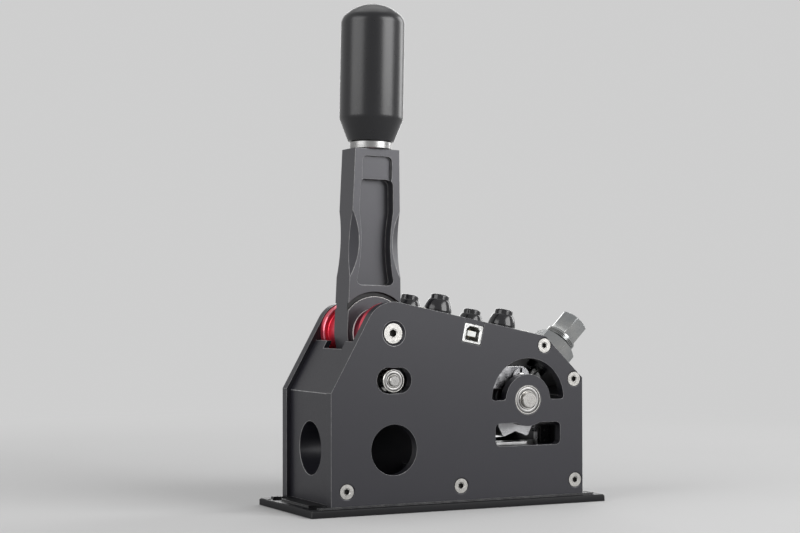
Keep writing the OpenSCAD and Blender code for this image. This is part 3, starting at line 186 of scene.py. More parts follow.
BLACK = finish("black_anodised", (0.0142, 0.0139, 0.0192), 0.15, 0.4, 0.07, 9, 2400, 0.1, gloss_vary=0.03)
# The edge finishes are lighter than their faces: partly worn edges, partly a painted highlight along every
# rounded edge; the red edge is a painted highlight only.
BLACK_EDGE_WEAR_AND_HIGHLIGHT = finish("black_anodised_edge_wear_and_highlight", (0.2, 0.2, 0.205), 0.3, 0.4, 0.15, 60, 1800, 0.1,
                    worn=(0.42, 0.42, 0.42), patch=300)
# The base plate's finishes are darker and duller than the plates': painted shade for the darkening towards
# the bottom.
BASE = finish("black_base", (0.006, 0.006, 0.0072), 0.0, 0.5, 0.07, 9, 2400, 0.1, gloss_vary=0.03)
BASE_EDGE_WEAR_AND_HIGHLIGHT = finish("black_base_edge_wear_and_highlight", (0.03, 0.03, 0.032), 0.3, 0.4, 0.15, 60, 1800, 0.1,
                   worn=(0.09, 0.09, 0.09), patch=300)
DULL_SHEEN = 0.15
for dull in (BASE, BASE_EDGE_WEAR_AND_HIGHLIGHT):
    dull.node_tree.nodes["Principled BSDF"].inputs["Specular IOR Level"].default_value = DULL_SHEEN
GREY = finish("grey_anodised", (0.0455, 0.045, 0.0515), 0.3, 0.38, 0.06, 12, 2400, 0.1, gloss_vary=0.03)
GREY_EDGE_WEAR_AND_HIGHLIGHT = finish("grey_anodised_edge_wear_and_highlight", (0.14, 0.14, 0.145), 0.4, 0.36, 0.12, 60, 1800, 0.1,
                   worn=(0.32, 0.32, 0.32), patch=300)
RED = finish("red_anodised", (0.45, 0.02, 0.04), 0.6, 0.3, 0.08, 30, 1400, 0.08, stretch=(8, 1, 8))
RED_EDGE_HIGHLIGHT = finish("red_anodised_edge_highlight", (0.8, 0.2, 0.26), 0.6, 0.22, 0.1, 60, 1400, 0.08)
# Painted shade for the lever hub's groove and a painted highlight for its inner lip.
GROOVE_SHADE = finish("hub_groove_painted_shade", (0.008, 0.008, 0.009), 0.1, 0.6, 0.1, 30, 1500, 0.1)
GROOVE_LIP_HIGHLIGHT = finish("hub_lip_painted_highlight", (0.5, 0.48, 0.47), 0.5, 0.3, 0.1, 30, 1500, 0.1)
BARE = finish("bare_aluminium", (0.52, 0.52, 0.52), 1.0, 0.34, 0.1, 55, 900, 0.12, (1, 14, 1),
              gloss_vary=0.06)
LINK = finish("milled_link", (0.34, 0.34, 0.35), 1.0, 0.3, 0.16, 55, 900, 0.16, (1, 14, 1),
              worn=(0.05, 0.05, 0.055), patch=150, gloss_vary=0.1)
CAM = finish("cam_steel", (0.4, 0.4, 0.41), 1.0, 0.32, 0.12, 70, 900, 0.14, (1, 10, 1), gloss_vary=0.09)
STEEL = finish("ground_steel", (0.52, 0.515, 0.51), 1.0, 0.24, 0.07, 60, 1300, 0.1, (1, 0.15, 1))
SCREW = finish("stainless_screw", (0.5, 0.49, 0.47), 1.0, 0.27, 0.09, 160, 1500, 0.08)
# Painted shade: near black for screw sockets, the ring round screw heads and the adjuster's grooves.
SOCKET_PAINTED_SHADE = finish("screw_socket_painted_shade", (0.02, 0.019, 0.017), 0.3, 0.6, 0.2, 300, 1500, 0.1)
ZINC = finish("zinc_plate", (0.3, 0.315, 0.325), 1.0, 0.21, 0.16, 60, 1500, 0.03,
              other=(0.36, 0.355, 0.34), gloss_vary=0.03)
SPRING = finish("spring_steel", (0.3, 0.3, 0.31), 1.0, 0.3, 0.12, 200, 1500, 0.1)
TIN = finish("tinned_shell", (0.66, 0.66, 0.65), 1.0, 0.22, 0.06, 80, 1100, 0.05)
BRASS = finish("brass", (0.55, 0.4, 0.19), 1.0, 0.27, 0.08, 90, 1200, 0.1)
SHIELD = finish("bearing_shield", (0.3, 0.295, 0.29), 1.0, 0.36, 0.1, 120, 1200, 0.08)
# Painted shade for the recessed gaps in the bearings.
GAP = finish("bearing_gap_painted_shade", (0.012, 0.012, 0.012), 0.0, 0.6, 0.2, 200, 900, 0.1)
GRIP = finish("grip_black", (0.006, 0.006, 0.0076), 0.0, 0.3, 0.07, 14, 2600, 0.12, gloss_vary=0.03)
PLASTIC = finish("black_moulding", (0.016, 0.016, 0.017), 0.0, 0.3, 0.12, 60, 1800, 0.08)
GLOSS = finish("button_black", (0.01, 0.01, 0.012), 0.0, 0.18, 0.1, 60, 1200, 0.03)
WHITE = finish("white_moulding", (0.74, 0.75, 0.73), 0.0, 0.38, 0.04, 60, 1800, 0.06)
MASK = finish("solder_mask", (0.012, 0.11, 0.045), 0.0, 0.28, 0.1, 120, 1500, 0.05)
TRACK = finish("board_tracks", (0.02, 0.17, 0.075), 0.0, 0.28, 0.1, 120, 1500, 0.05)
GOLD = finish("gold_contact", (0.75, 0.55, 0.23), 1.0, 0.22, 0.06, 200, 1400, 0.05)
SOLDER = finish("solder", (0.6, 0.6, 0.61), 1.0, 0.3, 0.1, 400, 1500, 0.1)
CERAMIC = finish("ceramic_body", (0.42, 0.33, 0.22), 0.0, 0.5, 0.1, 300, 1500, 0.1)

FINISH_OF_SLOT = {
    "black_plate": BLACK, "grey_aluminium": GREY, "red_aluminium": RED, "bright_aluminium": STEEL,
    "bare_aluminium": BARE, "cam_steel": CAM, "shaft_steel": STEEL, "bearing_steel": STEEL,
    "screw_steel": SCREW, "plated_steel": ZINC, "spring_steel": SPRING, "socket_steel": TIN,
    "post_brass": BRASS, "black_grip": GRIP, "black_plastic": PLASTIC, "button_plastic": GLOSS,
    "board_green": MASK,
}
# Rounded strips take these lighter edge finishes, partly wear and partly painted highlight.
EDGE_WEAR_AND_HIGHLIGHT_OF_SLOT = {"black_plate": BLACK_EDGE_WEAR_AND_HIGHLIGHT, "grey_aluminium": GREY_EDGE_WEAR_AND_HIGHLIGHT, "red_aluminium": RED_EDGE_HIGHLIGHT}


# Pieces

def add_piece(name, mesh, finishes, body, stands_for=(), smooth_angle=35):
    """A visible piece on its body and the CAD nodes that it stands for."""
    mesh.name = name
    piece = bpy.data.objects.new(name, mesh)
    bpy.context.scene.collection.objects.link(piece)
    for mat in finishes:
        mesh.materials.append(mat)
    mesh.shade_smooth()
    mesh.set_sharp_from_angle(angle=math.radians(smooth_angle))
    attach(piece, body)
    if stands_for:
        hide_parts(*stands_for)
    return piece


def stand_in(node, mesh, finishes=None, smooth_angle=35):
    """A piece that takes a CAD node's place, on its body and with its slot."""
    slot = slot_of[node]
    own = finishes or [FINISH_OF_SLOT[slot]]
    return add_piece(node + "_piece", mesh, own, body_of[node], (node,), smooth_angle)


def keep_flat(piece):
    """Large flat faces keep their own normals beside rounded edges."""
    normals = piece.modifiers.new("flat_faces", "WEIGHTED_NORMAL")
    normals.keep_sharp = True
    normals.weight = 100


def to_mesh(bm, name="mesh"):
    """The mesh of an edit mesh, with its faces turned outwards."""
    bmesh.ops.recalc_face_normals(bm, faces=bm.faces)
    mesh = bpy.data.meshes.new(name)
    bm.to_mesh(mesh)
    bm.free()
    return mesh


DEPTH_FOR_WIDTH = 2.5


def roundable(bm, width, limit, least_length=0.0):
    """Edges sharper than the limit whose two faces are deep enough for the rounding."""
    edges = []
    for edge in bm.edges:
        if not edge.is_manifold or edge.calc_face_angle(0) < math.radians(limit):
            continue
        length = edge.calc_length()
        depth = min(face.calc_area() for face in edge.link_faces) / length
        plain = all(face.material_index == 0 for face in edge.link_faces)
        if plain and length > least_length * MM and depth > DEPTH_FOR_WIDTH * width * MM:
            edges.append(edge)
    return edges


def shade_groove(bm):
    """Paints shade into the groove around the lever's hub, and a painted highlight on the edge of its inner
    wall.
    """
    edge = 0.3
    for face in bm.faces:
        radii = [math.hypot(v.co.x / MM - PIVOT[0], v.co.z / MM - PIVOT[2]) for v in face.verts]
        depths = [HUB_FACE - abs(v.co.y) / MM for v in face.verts]
        in_ring = min(radii) > GROOVE_R - edge and max(radii) < GROOVE_R + GROOVE_WID + edge
        if not in_ring or max(depths) > GROOVE_DEP + edge:
            continue
        on_lip = max(radii) < GROOVE_R + 0.1 and max(depths) < edge
        face.material_index = 3 if on_lip else 2


def join_flat(bm):
    """Faces in one plane become one face."""
    bmesh.ops.dissolve_limit(bm, angle_limit=math.radians(0.3), verts=bm.verts, edges=bm.edges,
                             use_dissolve_boundaries=False)


def folded_back(face):
    """Says whether a triangle lies on one of its neighbours, face to face."""
    full_turn = math.radians(179)
    shared = [edge for edge in face.edges if len(edge.link_faces) == 2]
    return len(face.verts) == 3 and any(edge.calc_face_angle(0) > full_turn for edge in shared)


def close_slivers(bm):
    """Thin triangles that lie folded back on a neighbour are closed up, corner by corner."""
    rounds = 12
    for _ in range(rounds):
        moves = {}
        used = set()
        for face in bm.faces:
            if not folded_back(face) or used.intersection(face.verts):
                continue
            longest = max(face.edges, key=lambda e: e.calc_length())
            corner = next(v for v in face.verts if v not in longest.verts)
            moves[corner] = min(longest.verts, key=lambda v: (v.co - corner.co).length)
            used.update(face.verts)
        if not moves:
            break
        bmesh.ops.weld_verts(bm, targetmap=moves)
    loose = [face for face in bm.faces if all(len(e.link_faces) == 1 for e in face.edges)]
    bmesh.ops.delete(bm, geom=loose, context="FACES")
    join_flat(bm)


def calm_rims(bm):
    """The strips around the heads of the side plates' screws keep the plate's own finish."""
    strip = 0.8
    rims = [(x, z, M5["head_r"] + strip) for x, z in SIDE_SCREWS]
    rims.append((PIVOT[0], PIVOT[2], M6["head_r"] + strip))
    for face in bm.faces:
        spot = face.calc_center_median() / MM
        if any(math.hypot(spot.x - x, spot.z - z) < reach for x, z, reach in rims):
            face.material_index = 0


def dress(node, width, limit=28, weld=0.03, least_length=0.0, clamp=True):
    """The CAD solid with its edges rounded, and the rounded strips in a lighter finish that is partly edge
    wear and partly painted highlight.
    """
    bm = bmesh.new()
    bm.from_mesh(nodes[node].data)
    bmesh.ops.remove_doubles(bm, verts=bm.verts, dist=weld * MM)
    join_flat(bm)
    if node == "lever":
        close_slivers(bm)
    for face in bm.faces:
        face.material_index = 0
    bmesh.ops.bevel(bm, geom=roundable(bm, width, limit, least_length), offset=width * MM,
                    offset_type="OFFSET", segments=2, profile=0.5, affect="EDGES", clamp_overlap=clamp,
                    material=1)
    if node.startswith("side_plate"):
        calm_rims(bm)
    slot = slot_of[node]
    face_finish = FINISH_OF_SLOT[slot]
    pair = [face_finish, EDGE_WEAR_AND_HIGHLIGHT_OF_SLOT.get(slot, face_finish)]
    # The base plate takes its darker finishes as painted shade at the bottom.
    if node == "base_plate":
        pair = [BASE, BASE_EDGE_WEAR_AND_HIGHLIGHT]
    if node.startswith("link_bar"):
        pair = [LINK, BARE]
    if node == "lever":
        shade_groove(bm)
        pair += [GROOVE_SHADE, GROOVE_LIP_HIGHLIGHT]
    keep_flat(stand_in(node, to_mesh(bm), pair, 50))


def hex_radius(angle, across_flats):
    """How far a hexagon reaches at an angle."""
    return across_flats / 2 / math.cos(math.radians(angle % 60 - 30))


def revolve(rings, origin, axis, across=None, turn=0.0, steps=96, bands=None, closed=False):
    """Rings given as (radius, height) or (radius, height, across flats) round an axis, in millimetres."""
    axis = Vector(axis).normalized()
    if across is None:
        across = Vector((0, 0, 1)) if abs(axis.z) < 0.9 else Vector((1, 0, 0))
        across = across - axis * across.dot(axis)
    u = Vector(across).normalized()
    v = axis.cross(u)
    origin = Vector(origin)
    bm = bmesh.new()
    loops = []
    for ring in rings:
        radius, height = ring[0], ring[1]
        middle = origin + axis * height
        if radius < 1e-6:
            loops.append([bm.verts.new(middle * MM)])
            continue
        loop = []
        for k in range(steps):
            angle = 360 * k / steps
            r = min(radius, hex_radius(angle, ring[2])) if len(ring) > 2 else radius
            a = math.radians(angle + turn)
            loop.append(bm.verts.new((middle + (u * math.cos(a) + v * math.sin(a)) * r) * MM))
        loops.append(loop)
    count = len(loops)
    for i in range(count if closed else count - 1):
        one, two = loops[i], loops[(i + 1) % count]
        for k in range(steps):
            n = (k + 1) % steps
            if len(one) == 1 and len(two) == 1:
                break
            if len(one) == 1:
                face = bm.faces.new((one[0], two[n], two[k]))
            elif len(two) == 1:
                face = bm.faces.new((one[k], one[n], two[0]))
            else:
                face = bm.faces.new((one[k], one[n], two[n], two[k]))
            face.material_index = bands.get(i, 0) if bands else 0
    return to_mesh(bm)


def merged(meshes):
    """One mesh from several."""
    bm = bmesh.new()
    for mesh in meshes:
        bm.from_mesh(mesh)
    mesh = bpy.data.meshes.new("merged")
    bm.to_mesh(mesh)
    bm.free()
    return mesh


def block(low, high, rounding=0.1, matrix=None):
    """A block with rounded edges between two corners, in millimetres."""
    bm = bmesh.new()
    bmesh.ops.create_cube(bm, size=1)
    middle = [(a + b) / 2 * MM for a, b in zip(low, high)]
    size = [(b - a) * MM for a, b in zip(low, high)]
    placed = Matrix.Translation(middle) @ Matrix.Diagonal((*size, 1))
    bmesh.ops.transform(bm, matrix=placed, verts=bm.verts)
    bmesh.ops.bevel(bm, geom=list(bm.edges), offset=rounding * MM, offset_type="OFFSET", segments=2,
                    profile=0.5, affect="EDGES", clamp_overlap=True)
    if matrix is not None:
        bmesh.ops.transform(bm, matrix=matrix, verts=bm.verts)
    return to_mesh(bm)


def arc(centre_r, centre_h, radius, begin, end, count=8):
    """Points of an arc, as rings for revolve."""
    rings = []
    for k in range(count + 1):
        a = math.radians(begin + (end - begin) * k / count)
        rings.append((centre_r + radius * math.cos(a), centre_h + radius * math.sin(a)))
    return rings


# Places and sizes of the CAD model, in millimetres

HALF_LEN = 80.0
HALF_WID = 34.0
INNER = 28.0
DECK = 5.0
PIVOT = (-42.0, 0.0, 98.7)
ROLLER = (-42.0, 0.0, 72.6)
ROCKER = (43.5, 0.0, 60.0)
CRANK = (43.5, 0.0, 72.6)
REAR_Z = 72.0
CORNER = (55.24, 96.33)
SLOPE = math.radians(11.7)
CHAMFER = math.radians(44.5)
LEAN = math.radians(1.2)
PANEL_Z = 107.7714
BLADE_TOP = 104.0
HUB_FACE = 9.0
GROOVE_R = 20.5
GROOVE_WID = 2.5
GROOVE_DEP = 1.5
OUT = {"left": (0, -1, 0), "right": (0, 1, 0)}
SIDE = {"left": -1, "right": 1}

PANEL_UP = (math.sin(SLOPE), 0.0, math.cos(SLOPE))
PANEL_ALONG = (math.cos(SLOPE), 0.0, -math.sin(SLOPE))
PANEL_MATRIX = Matrix.Translation((0, 0, PANEL_Z * MM)) @ Matrix.Rotation(SLOPE, 4, "Y")
ADJUSTER = (43.5, -14.0, 60.0)
ADJUSTER_OUT = (math.sin(CHAMFER), 0.0, math.cos(CHAMFER))
ADJUSTER_DOWN = (math.cos(CHAMFER), 0.0, -math.sin(CHAMFER))
LEVER_UP = (math.sin(LEAN), 0.0, math.cos(LEAN))


def on_panel(along, y, up=0.0):
    """A place by its distance down the top panel's slope, across it and above its upper face."""
    return tuple(Vector((0, y, PANEL_Z)) + Vector(PANEL_ALONG) * along + Vector(PANEL_UP) * up)


def on_lever(height):
    """A place on the lever's axis, above its pivot."""
    return tuple(Vector(PIVOT) + Vector(LEVER_UP) * height)


FRONT_SPOT = (PIVOT[0] + 34.6) / math.cos(SLOPE)
REAR_SPOT = (CORNER[0] - 20.94) / math.cos(SLOPE)
SOCKET_SPOT = FRONT_SPOT + 16.6 / math.cos(SLOPE)
BOARD_MID = (FRONT_SPOT + REAR_SPOT) / 2
BOARD_DROP = 13.5

# Countersunk screws: radius of the shank and head, depth of the head below the face, width of the key

M5 = {"r": 2.5, "head_r": 4.5, "sink": 0.35, "key": 3.0}
M6 = {"r": 3.0, "head_r": 6.0, "sink": 1.0, "key": 4.0}
SCREW_ROW_X = (-70.5, 0.0, 75.0)
SCREW_ROW_Z = 13.0
CHAMFER_SCREW_IN = 4.35
CHAMFER_SCREW_END = 3.4


def side_screws():
    """The five places on a side plate: three in a row at its foot and two along the chamfer."""
    middle_x = HALF_LEN - math.sin(CHAMFER) * CHAMFER_SCREW_IN
    middle_z = REAR_Z - math.cos(CHAMFER) * CHAMFER_SCREW_IN
    chamfer_len = math.hypot(CORNER[0] - HALF_LEN, CORNER[1] - REAR_Z)
    spots = [(x, SCREW_ROW_Z) for x in SCREW_ROW_X]
    for d in (CHAMFER_SCREW_END, chamfer_len - CHAMFER_SCREW_END):
        spots.append((middle_x - math.cos(CHAMFER) * d, middle_z + math.sin(CHAMFER) * d))
    return spots


SIDE_SCREWS = side_screws()

for node, cad in nodes.items():
    if not cad.material_slots:
        cad.data.materials.append(FINISH_OF_SLOT[slot_of[node]])
    for place in cad.material_slots:
        place.material = FINISH_OF_SLOT[slot_of[node]]

# Milled, sawn and pressed pieces, each with the width of its rounded edges

EDGE_WIDTHS = {
    "side_plate_left": 0.35, "side_plate_right": 0.35, "rear_plate": 0.35, "adjuster_plate": 0.35,
    "cross_bar": 0.3, "top_panel": 0.25, "panel_blocks": 0.2, "rocker": 0.3, "link_bar_left": 0.4,
    "link_bar_right": 0.4, "switch_bracket": 0.15, "circuit_board": 0.1, "adjuster_nut": 0.15,
    "pin_clips": 0.1, "inner_spacers": 0.2, "outer_spacers": 0.2, "shaft_spacers": 0.2,
    "pivot_shaft": 0.3, "micro_switch_front": 0.25, "micro_switch_rear": 0.25, "switch_arm_front": 0.1,
    "switch_arm_rear": 0.1,
}
for node, width in EDGE_WIDTHS.items():
    dress(node, width)
dress("base_plate", 0.3, limit=50, weld=0.16, least_length=1.0)
dress("front_plate", 0.3, least_length=1.0)
dress("lever", 0.22, weld=0.2, clamp=False)

# Screws


def sunk_screw(origin, axis, length, r, head_r, sink, key):
    """A countersunk screw: shank, cone, rim, flat head with a chamfered hexagon socket; the rim's chamfer and
    the socket are painted dark as painted shade.
    """
    rim = head_r - 0.2
    cone = head_r - r
    key_r = key / math.sqrt(3) + 0.1
    socket = -sink - 0.55 * cone - 1
    rings = [(0, -length), (r - 0.5, -length), (r, -length + 0.5), (r, -sink - cone)]
    rings += [(rim, -sink - 0.4), (rim, -sink - 0.22), (rim - 0.24, -sink)]
    rings += [(key_r + 0.25, -sink), (key_r, -sink - 0.25), (key_r, -sink - 0.26, key)]
    rings += [(key_r, socket, key), (0, socket - 0.7)]
    rim_painted_shade = {4: 1, 5: 1}
    socket_painted_shade = {9: 1, 10: 1}
    return revolve(rings, origin, axis, steps=60, bands={**rim_painted_shade, **socket_painted_shade})


def button_screw(origin, axis, r, length):
    """A small screw with a rounded head, standing on its seat; its socket is painted dark as painted shade.
    """
    head_r = r * 1.85
    key = r * 1.15
    rings = [(0, -length), (r - 0.3, -length), (r, -length + 0.3), (r, 0), (head_r - 0.1, 0)]
    rings += arc(head_r - 1.0, 0.25, 1.0, 0, 75, 6)
    top = rings[-1][1]
    rings += [(key * 0.68, top + 0.05), (key * 0.6, top - 0.1), (key * 0.6, top - 0.11, key),
              (key * 0.6, top - 0.8, key), (0, top - 1.0)]
    return revolve(rings, origin, axis, steps=48, bands={len(rings) - 3: 1, len(rings) - 2: 1})


SCREWED = [SCREW, SOCKET_PAINTED_SHADE]
PLATE_SCREW_LEN = 16
PIVOT_SCREW_LEN = 18
BASE_SCREW_LEN = 13
BASE_SCREW_Y = (-11, 11)
PANEL_ENDS = (-25.53, 56.213)
BLOCK_SPOTS = [(along, y) for along in (PANEL_ENDS[0] + 5.5, PANEL_ENDS[1] - 8.6) for y in (-24, 24)]
BRACKET_FOOT = (-21.0, DECK + 1.6)

stand_in("plate_screws", merged([
    sunk_screw((x, SIDE[side] * HALF_WID, z), OUT[side], PLATE_SCREW_LEN, **M5)
    for side in OUT for x, z in SIDE_SCREWS
]), SCREWED)
stand_in("pivot_screws", merged([
    sunk_screw((PIVOT[0], SIDE[side] * HALF_WID, PIVOT[2]), OUT[side], PIVOT_SCREW_LEN, **M6)
    for side in OUT
]), SCREWED)
stand_in("base_screws", merged([
    sunk_screw((x, y, 0), (0, 0, -1), BASE_SCREW_LEN, **M5) for x in SCREW_ROW_X for y in BASE_SCREW_Y
]), SCREWED)
stand_in("panel_screws", merged([
    button_screw(on_panel(along, y), PANEL_UP, r=1.5, length=8.5) for along, y in BLOCK_SPOTS
]), SCREWED)
stand_in("bracket_screws", merged([
    button_screw((ROCKER[0] + x, *BRACKET_FOOT), (0, 0, 1), r=1.5, length=6.1) for x in (-10, 10)
]), SCREWED)

# Bearings, shafts and bushes


def bearing(node, centre, side, inner_r, outer_r, face_y, width):
    """Two chamfered rings with a dished shield let in between them on both faces; the gaps beside the shield
    are painted near black as painted shade.
    """
    wall = (outer_r - inner_r) * 0.24
    gap_out = outer_r - wall
    gap_in = inner_r + wall * 0.95
    half = [(inner_r + 0.2, 0), (gap_in - 0.12, 0), (gap_in, -0.15), (gap_in, -0.75)]
    half += [(gap_in + 0.3, -0.75), (gap_in + 0.34, -0.3), ((gap_in + gap_out) / 2, -0.16)]
    half += [(gap_out - 0.42, -0.3), (gap_out - 0.3, -0.55), (gap_out, -0.55), (gap_out, -0.15)]
    half += [(gap_out + 0.12, 0), (outer_r - 0.3, 0), (outer_r, -0.3)]
    rings = half + [(r, -width - h) for r, h in reversed(half)]
    rings += [(inner_r, -width + 0.2), (inner_r, -0.2)]
    last = len(half)
    dark = {2: 2, 3: 2, 8: 2, 9: 2}
    shield = {4: 1, 5: 1, 6: 1, 7: 1}
    bands = {**dark, **shield}
    bands.update({2 * last - 2 - i: m for i, m in list(bands.items())})
    origin = (centre[0], SIDE[side] * face_y, centre[2])
    steel = turned(node + "_steel", (0.54, 0.53, 0.51), centre, ALONG_Y, 0.23)
    mesh = revolve(rings, origin, OUT[side], steps=96, bands=bands, closed=True)
    stand_in(node, mesh, [steel, SHIELD, GAP], 30)


def shaft_rings(r, half, crown, edge=0.4):
    """A chamfered shaft with crowned ends, as long on both sides of the middle."""
    end = [(r - edge, half), (r * 0.5, half + crown * 0.7), (0, half + crown)]
    rings = [(r, half - edge)] + end
    return [(radius, -height) for radius, height in reversed(rings)] + rings


def crank_pin():
    """A pin with a groove for a clip near each end."""
    r = 3.0
    floor_r = 2.5
    rings = shaft_rings(r, 27.1, 0.12)
    groove = [(r, 25.28), (floor_r, 25.3), (floor_r, 26.1), (r, 26.12)]
    far_groove = [(radius, -height) for radius, height in reversed(groove)]
    grooved = rings[:4] + far_groove + groove + rings[4:]
    stand_in("crank_pin", revolve(grooved, CRANK, ALONG_Y, steps=60), [STEEL], 30)


def pivot_bush(side):
    """A flanged red bush whose end by the lever has a painted highlight on its lip; the left bush's sleeve is
    painted darker as painted shade.
    """
    bore_r, sleeve_r, flange_r = 6.02, 14.0, 17.0
    flange_thk, end = 5.0, 18.7
    rings = [(bore_r, 0), (flange_r - 0.5, 0), (flange_r, 0.5), (flange_r, flange_thk - 0.7)]
    rings += [(flange_r - 0.45, flange_thk - 0.05), (16.0, flange_thk), (sleeve_r + 0.3, flange_thk)]
    rings += [(sleeve_r, flange_thk + 0.3), (sleeve_r, end - 2.0), (sleeve_r - 0.1, end - 0.4)]
    rings += [(sleeve_r - 0.4, end), (bore_r + 0.38, end), (bore_r, end - 0.4)]
    edges = {1: 1, 3: 1, 4: 1}
    sleeve_and_lip_highlight = {7: 2, 8: 3, 9: 3}
    finishes = [
        finish("bush_red_" + side, BUSH_RED, 0.75, 0.32, 0.06, 30, 1500, 0.1,
               vector=round_coords(PIVOT, ALONG_Y)),
        RED_EDGE_HIGHLIGHT,
        finish("bush_sleeve_" + side, BUSH_SLEEVE_LEFT_SHADED[side], 0.75, 0.32, 0.06, 30, 1500, 0.1,
               vector=round_coords(PIVOT, ALONG_Y)),
        BUSH_LIP_HIGHLIGHT,
    ]
    origin = (PIVOT[0], SIDE[side] * INNER, PIVOT[2])
    inwards = tuple(-c for c in OUT[side])
    mesh = revolve(rings, origin, inwards, steps=120, bands={**edges, **sleeve_and_lip_highlight}, closed=True)
    stand_in("pivot_bush_" + side, mesh, finishes, 30)


for side in OUT:
    bearing("roller_" + side, ROLLER, side, inner_r=3.05, outer_r=6.5, face_y=33.6, width=5.0)
    bearing("rocker_bearing_" + side, ROCKER, side, inner_r=4.55, outer_r=8.5, face_y=33.9, width=5.0)
    bearing("lever_bearing_" + side, PIVOT, side, inner_r=6.05, outer_r=10.5, face_y=9.0, width=5.0)

END_STEEL = turned("shaft_end_steel", (0.42, 0.41, 0.395), ROCKER, ALONG_Y, 0.26)
AXLE_STEEL = turned("axle_end_steel", (0.4, 0.395, 0.385), ROLLER, ALONG_Y, 0.24)
stand_in("rocker_shaft", revolve(shaft_rings(4.5, 36.18, 0.01), ROCKER, ALONG_Y), [END_STEEL], 30)
stand_in("roller_axle", revolve(shaft_rings(3.0, 35.08, 0.01), ROLLER, ALONG_Y), [AXLE_STEEL], 30)
crank_pin()

BUSH_RED = (0.76, 0.055, 0.095)
# Painted shade: the left sleeve is a darker red than the right. Painted highlight: the lip's near-white
# colour.
BUSH_SLEEVE_LEFT_SHADED = {"left": (0.24, 0.014, 0.035), "right": BUSH_RED}
BUSH_LIP_HIGHLIGHT = finish("bush_lip_painted_highlight", (0.95, 0.8, 0.8), 0.2, 0.35, 0.05, 40, 1500, 0.05)
for side in OUT:
    pivot_bush(side)

# Grip, collar and stud, from the top of the lever's blade up

GRIP_R = 18.2
GRIP_TAPER = 13.0
BODY_TOP = GRIP_TAPER + 54.0
SHOULDER_R = 7.5
CROWN_RISE = 11.8
COLLAR_THK = 4.5
STUD_R = 4.95
STUD_SUNK = 12
STUD_TURNS = 22


def shift_grip():
    """A tapered foot, a plain barrel and a shoulder that runs into a flatter crown."""
    shoulder_x = GRIP_R - SHOULDER_R
    crown_r = (shoulder_x ** 2 + CROWN_RISE ** 2 - SHOULDER_R ** 2) / (2 * (CROWN_RISE - SHOULDER_R))
    crown_h = BODY_TOP + CROWN_RISE - crown_r
    meet = math.degrees(math.atan2(BODY_TOP - crown_h, shoulder_x))
    rings = [(0, 10.0), (5.3, 10.0), (5.3, 0), (12.6, 0), (13.1, 0.2), (13.45, 0.9), (17.85, 12.0)]
    rings += [(18.12, 12.9), (GRIP_R, 14.2), (GRIP_R, BODY_TOP)]
    rings += arc(shoulder_x, BODY_TOP, SHOULDER_R, 0, meet, 12)[1:]
    rings += arc(0, crown_h, crown_r, meet, 90, 12)[1:-1] + [(0, BODY_TOP + CROWN_RISE)]
    mesh = revolve(rings, on_lever(BLADE_TOP + COLLAR_THK), LEVER_UP, steps=144)
    stand_in("shift_grip", mesh, smooth_angle=24)


def grip_collar():
    """A turned steel ring with chamfered edges."""
    bore_r, r, edge = 5.1, 11.9, 0.5
    rings = [(bore_r, 0), (r - edge, 0), (r, edge), (r, COLLAR_THK - edge), (r - edge, COLLAR_THK)]
    rings.append((bore_r, COLLAR_THK))
    steel = turned("collar_steel", (0.31, 0.308, 0.305), on_lever(BLADE_TOP), LEVER_UP, 0.33, 0.14, 2200)
    mesh = revolve(rings, on_lever(BLADE_TOP), LEVER_UP, steps=120, closed=True)
    stand_in("grip_collar", mesh, [steel], 30)


def grip_stud():
    """A threaded stud, its thread as rings."""
    rings = [(0, 0), (4.4, 0), (STUD_R, 0.6)]
    for k in range(STUD_TURNS):
        rings += [(STUD_R, 1.0 + k), (STUD_R - 0.4, 1.5 + k)]
    rings += [(STUD_R, 23.4), (STUD_R, 27.8), (4.4, 28.4), (0, 28.4)]
    stand_in("grip_stud", revolve(rings, on_lever(BLADE_TOP - STUD_SUNK), LEVER_UP, steps=60), [STEEL], 40)


shift_grip()
grip_collar()
grip_stud()

# Adjuster, with heights along its axis from the middle of the rocker's shaft

FACE_OUT = (HALF_LEN - ROCKER[0]) * math.sin(CHAMFER) + (REAR_Z - ROCKER[2]) * math.cos(CHAMFER)
NUT_STANDS = 10.8
CAP_GAP = 1.2
CAP_FOOT = FACE_OUT + NUT_STANDS + CAP_GAP
CAP_R = 9.4
CAP_KEY = 16
CAP_TURN = 7.0
HEX_FOOT = CAP_FOOT + 3.4
CAP_TOP = HEX_FOOT + 13.0
SHANK_R = 3.9
SHANK_END = CAP_FOOT - 8.0
SHANK_TURNS = 12


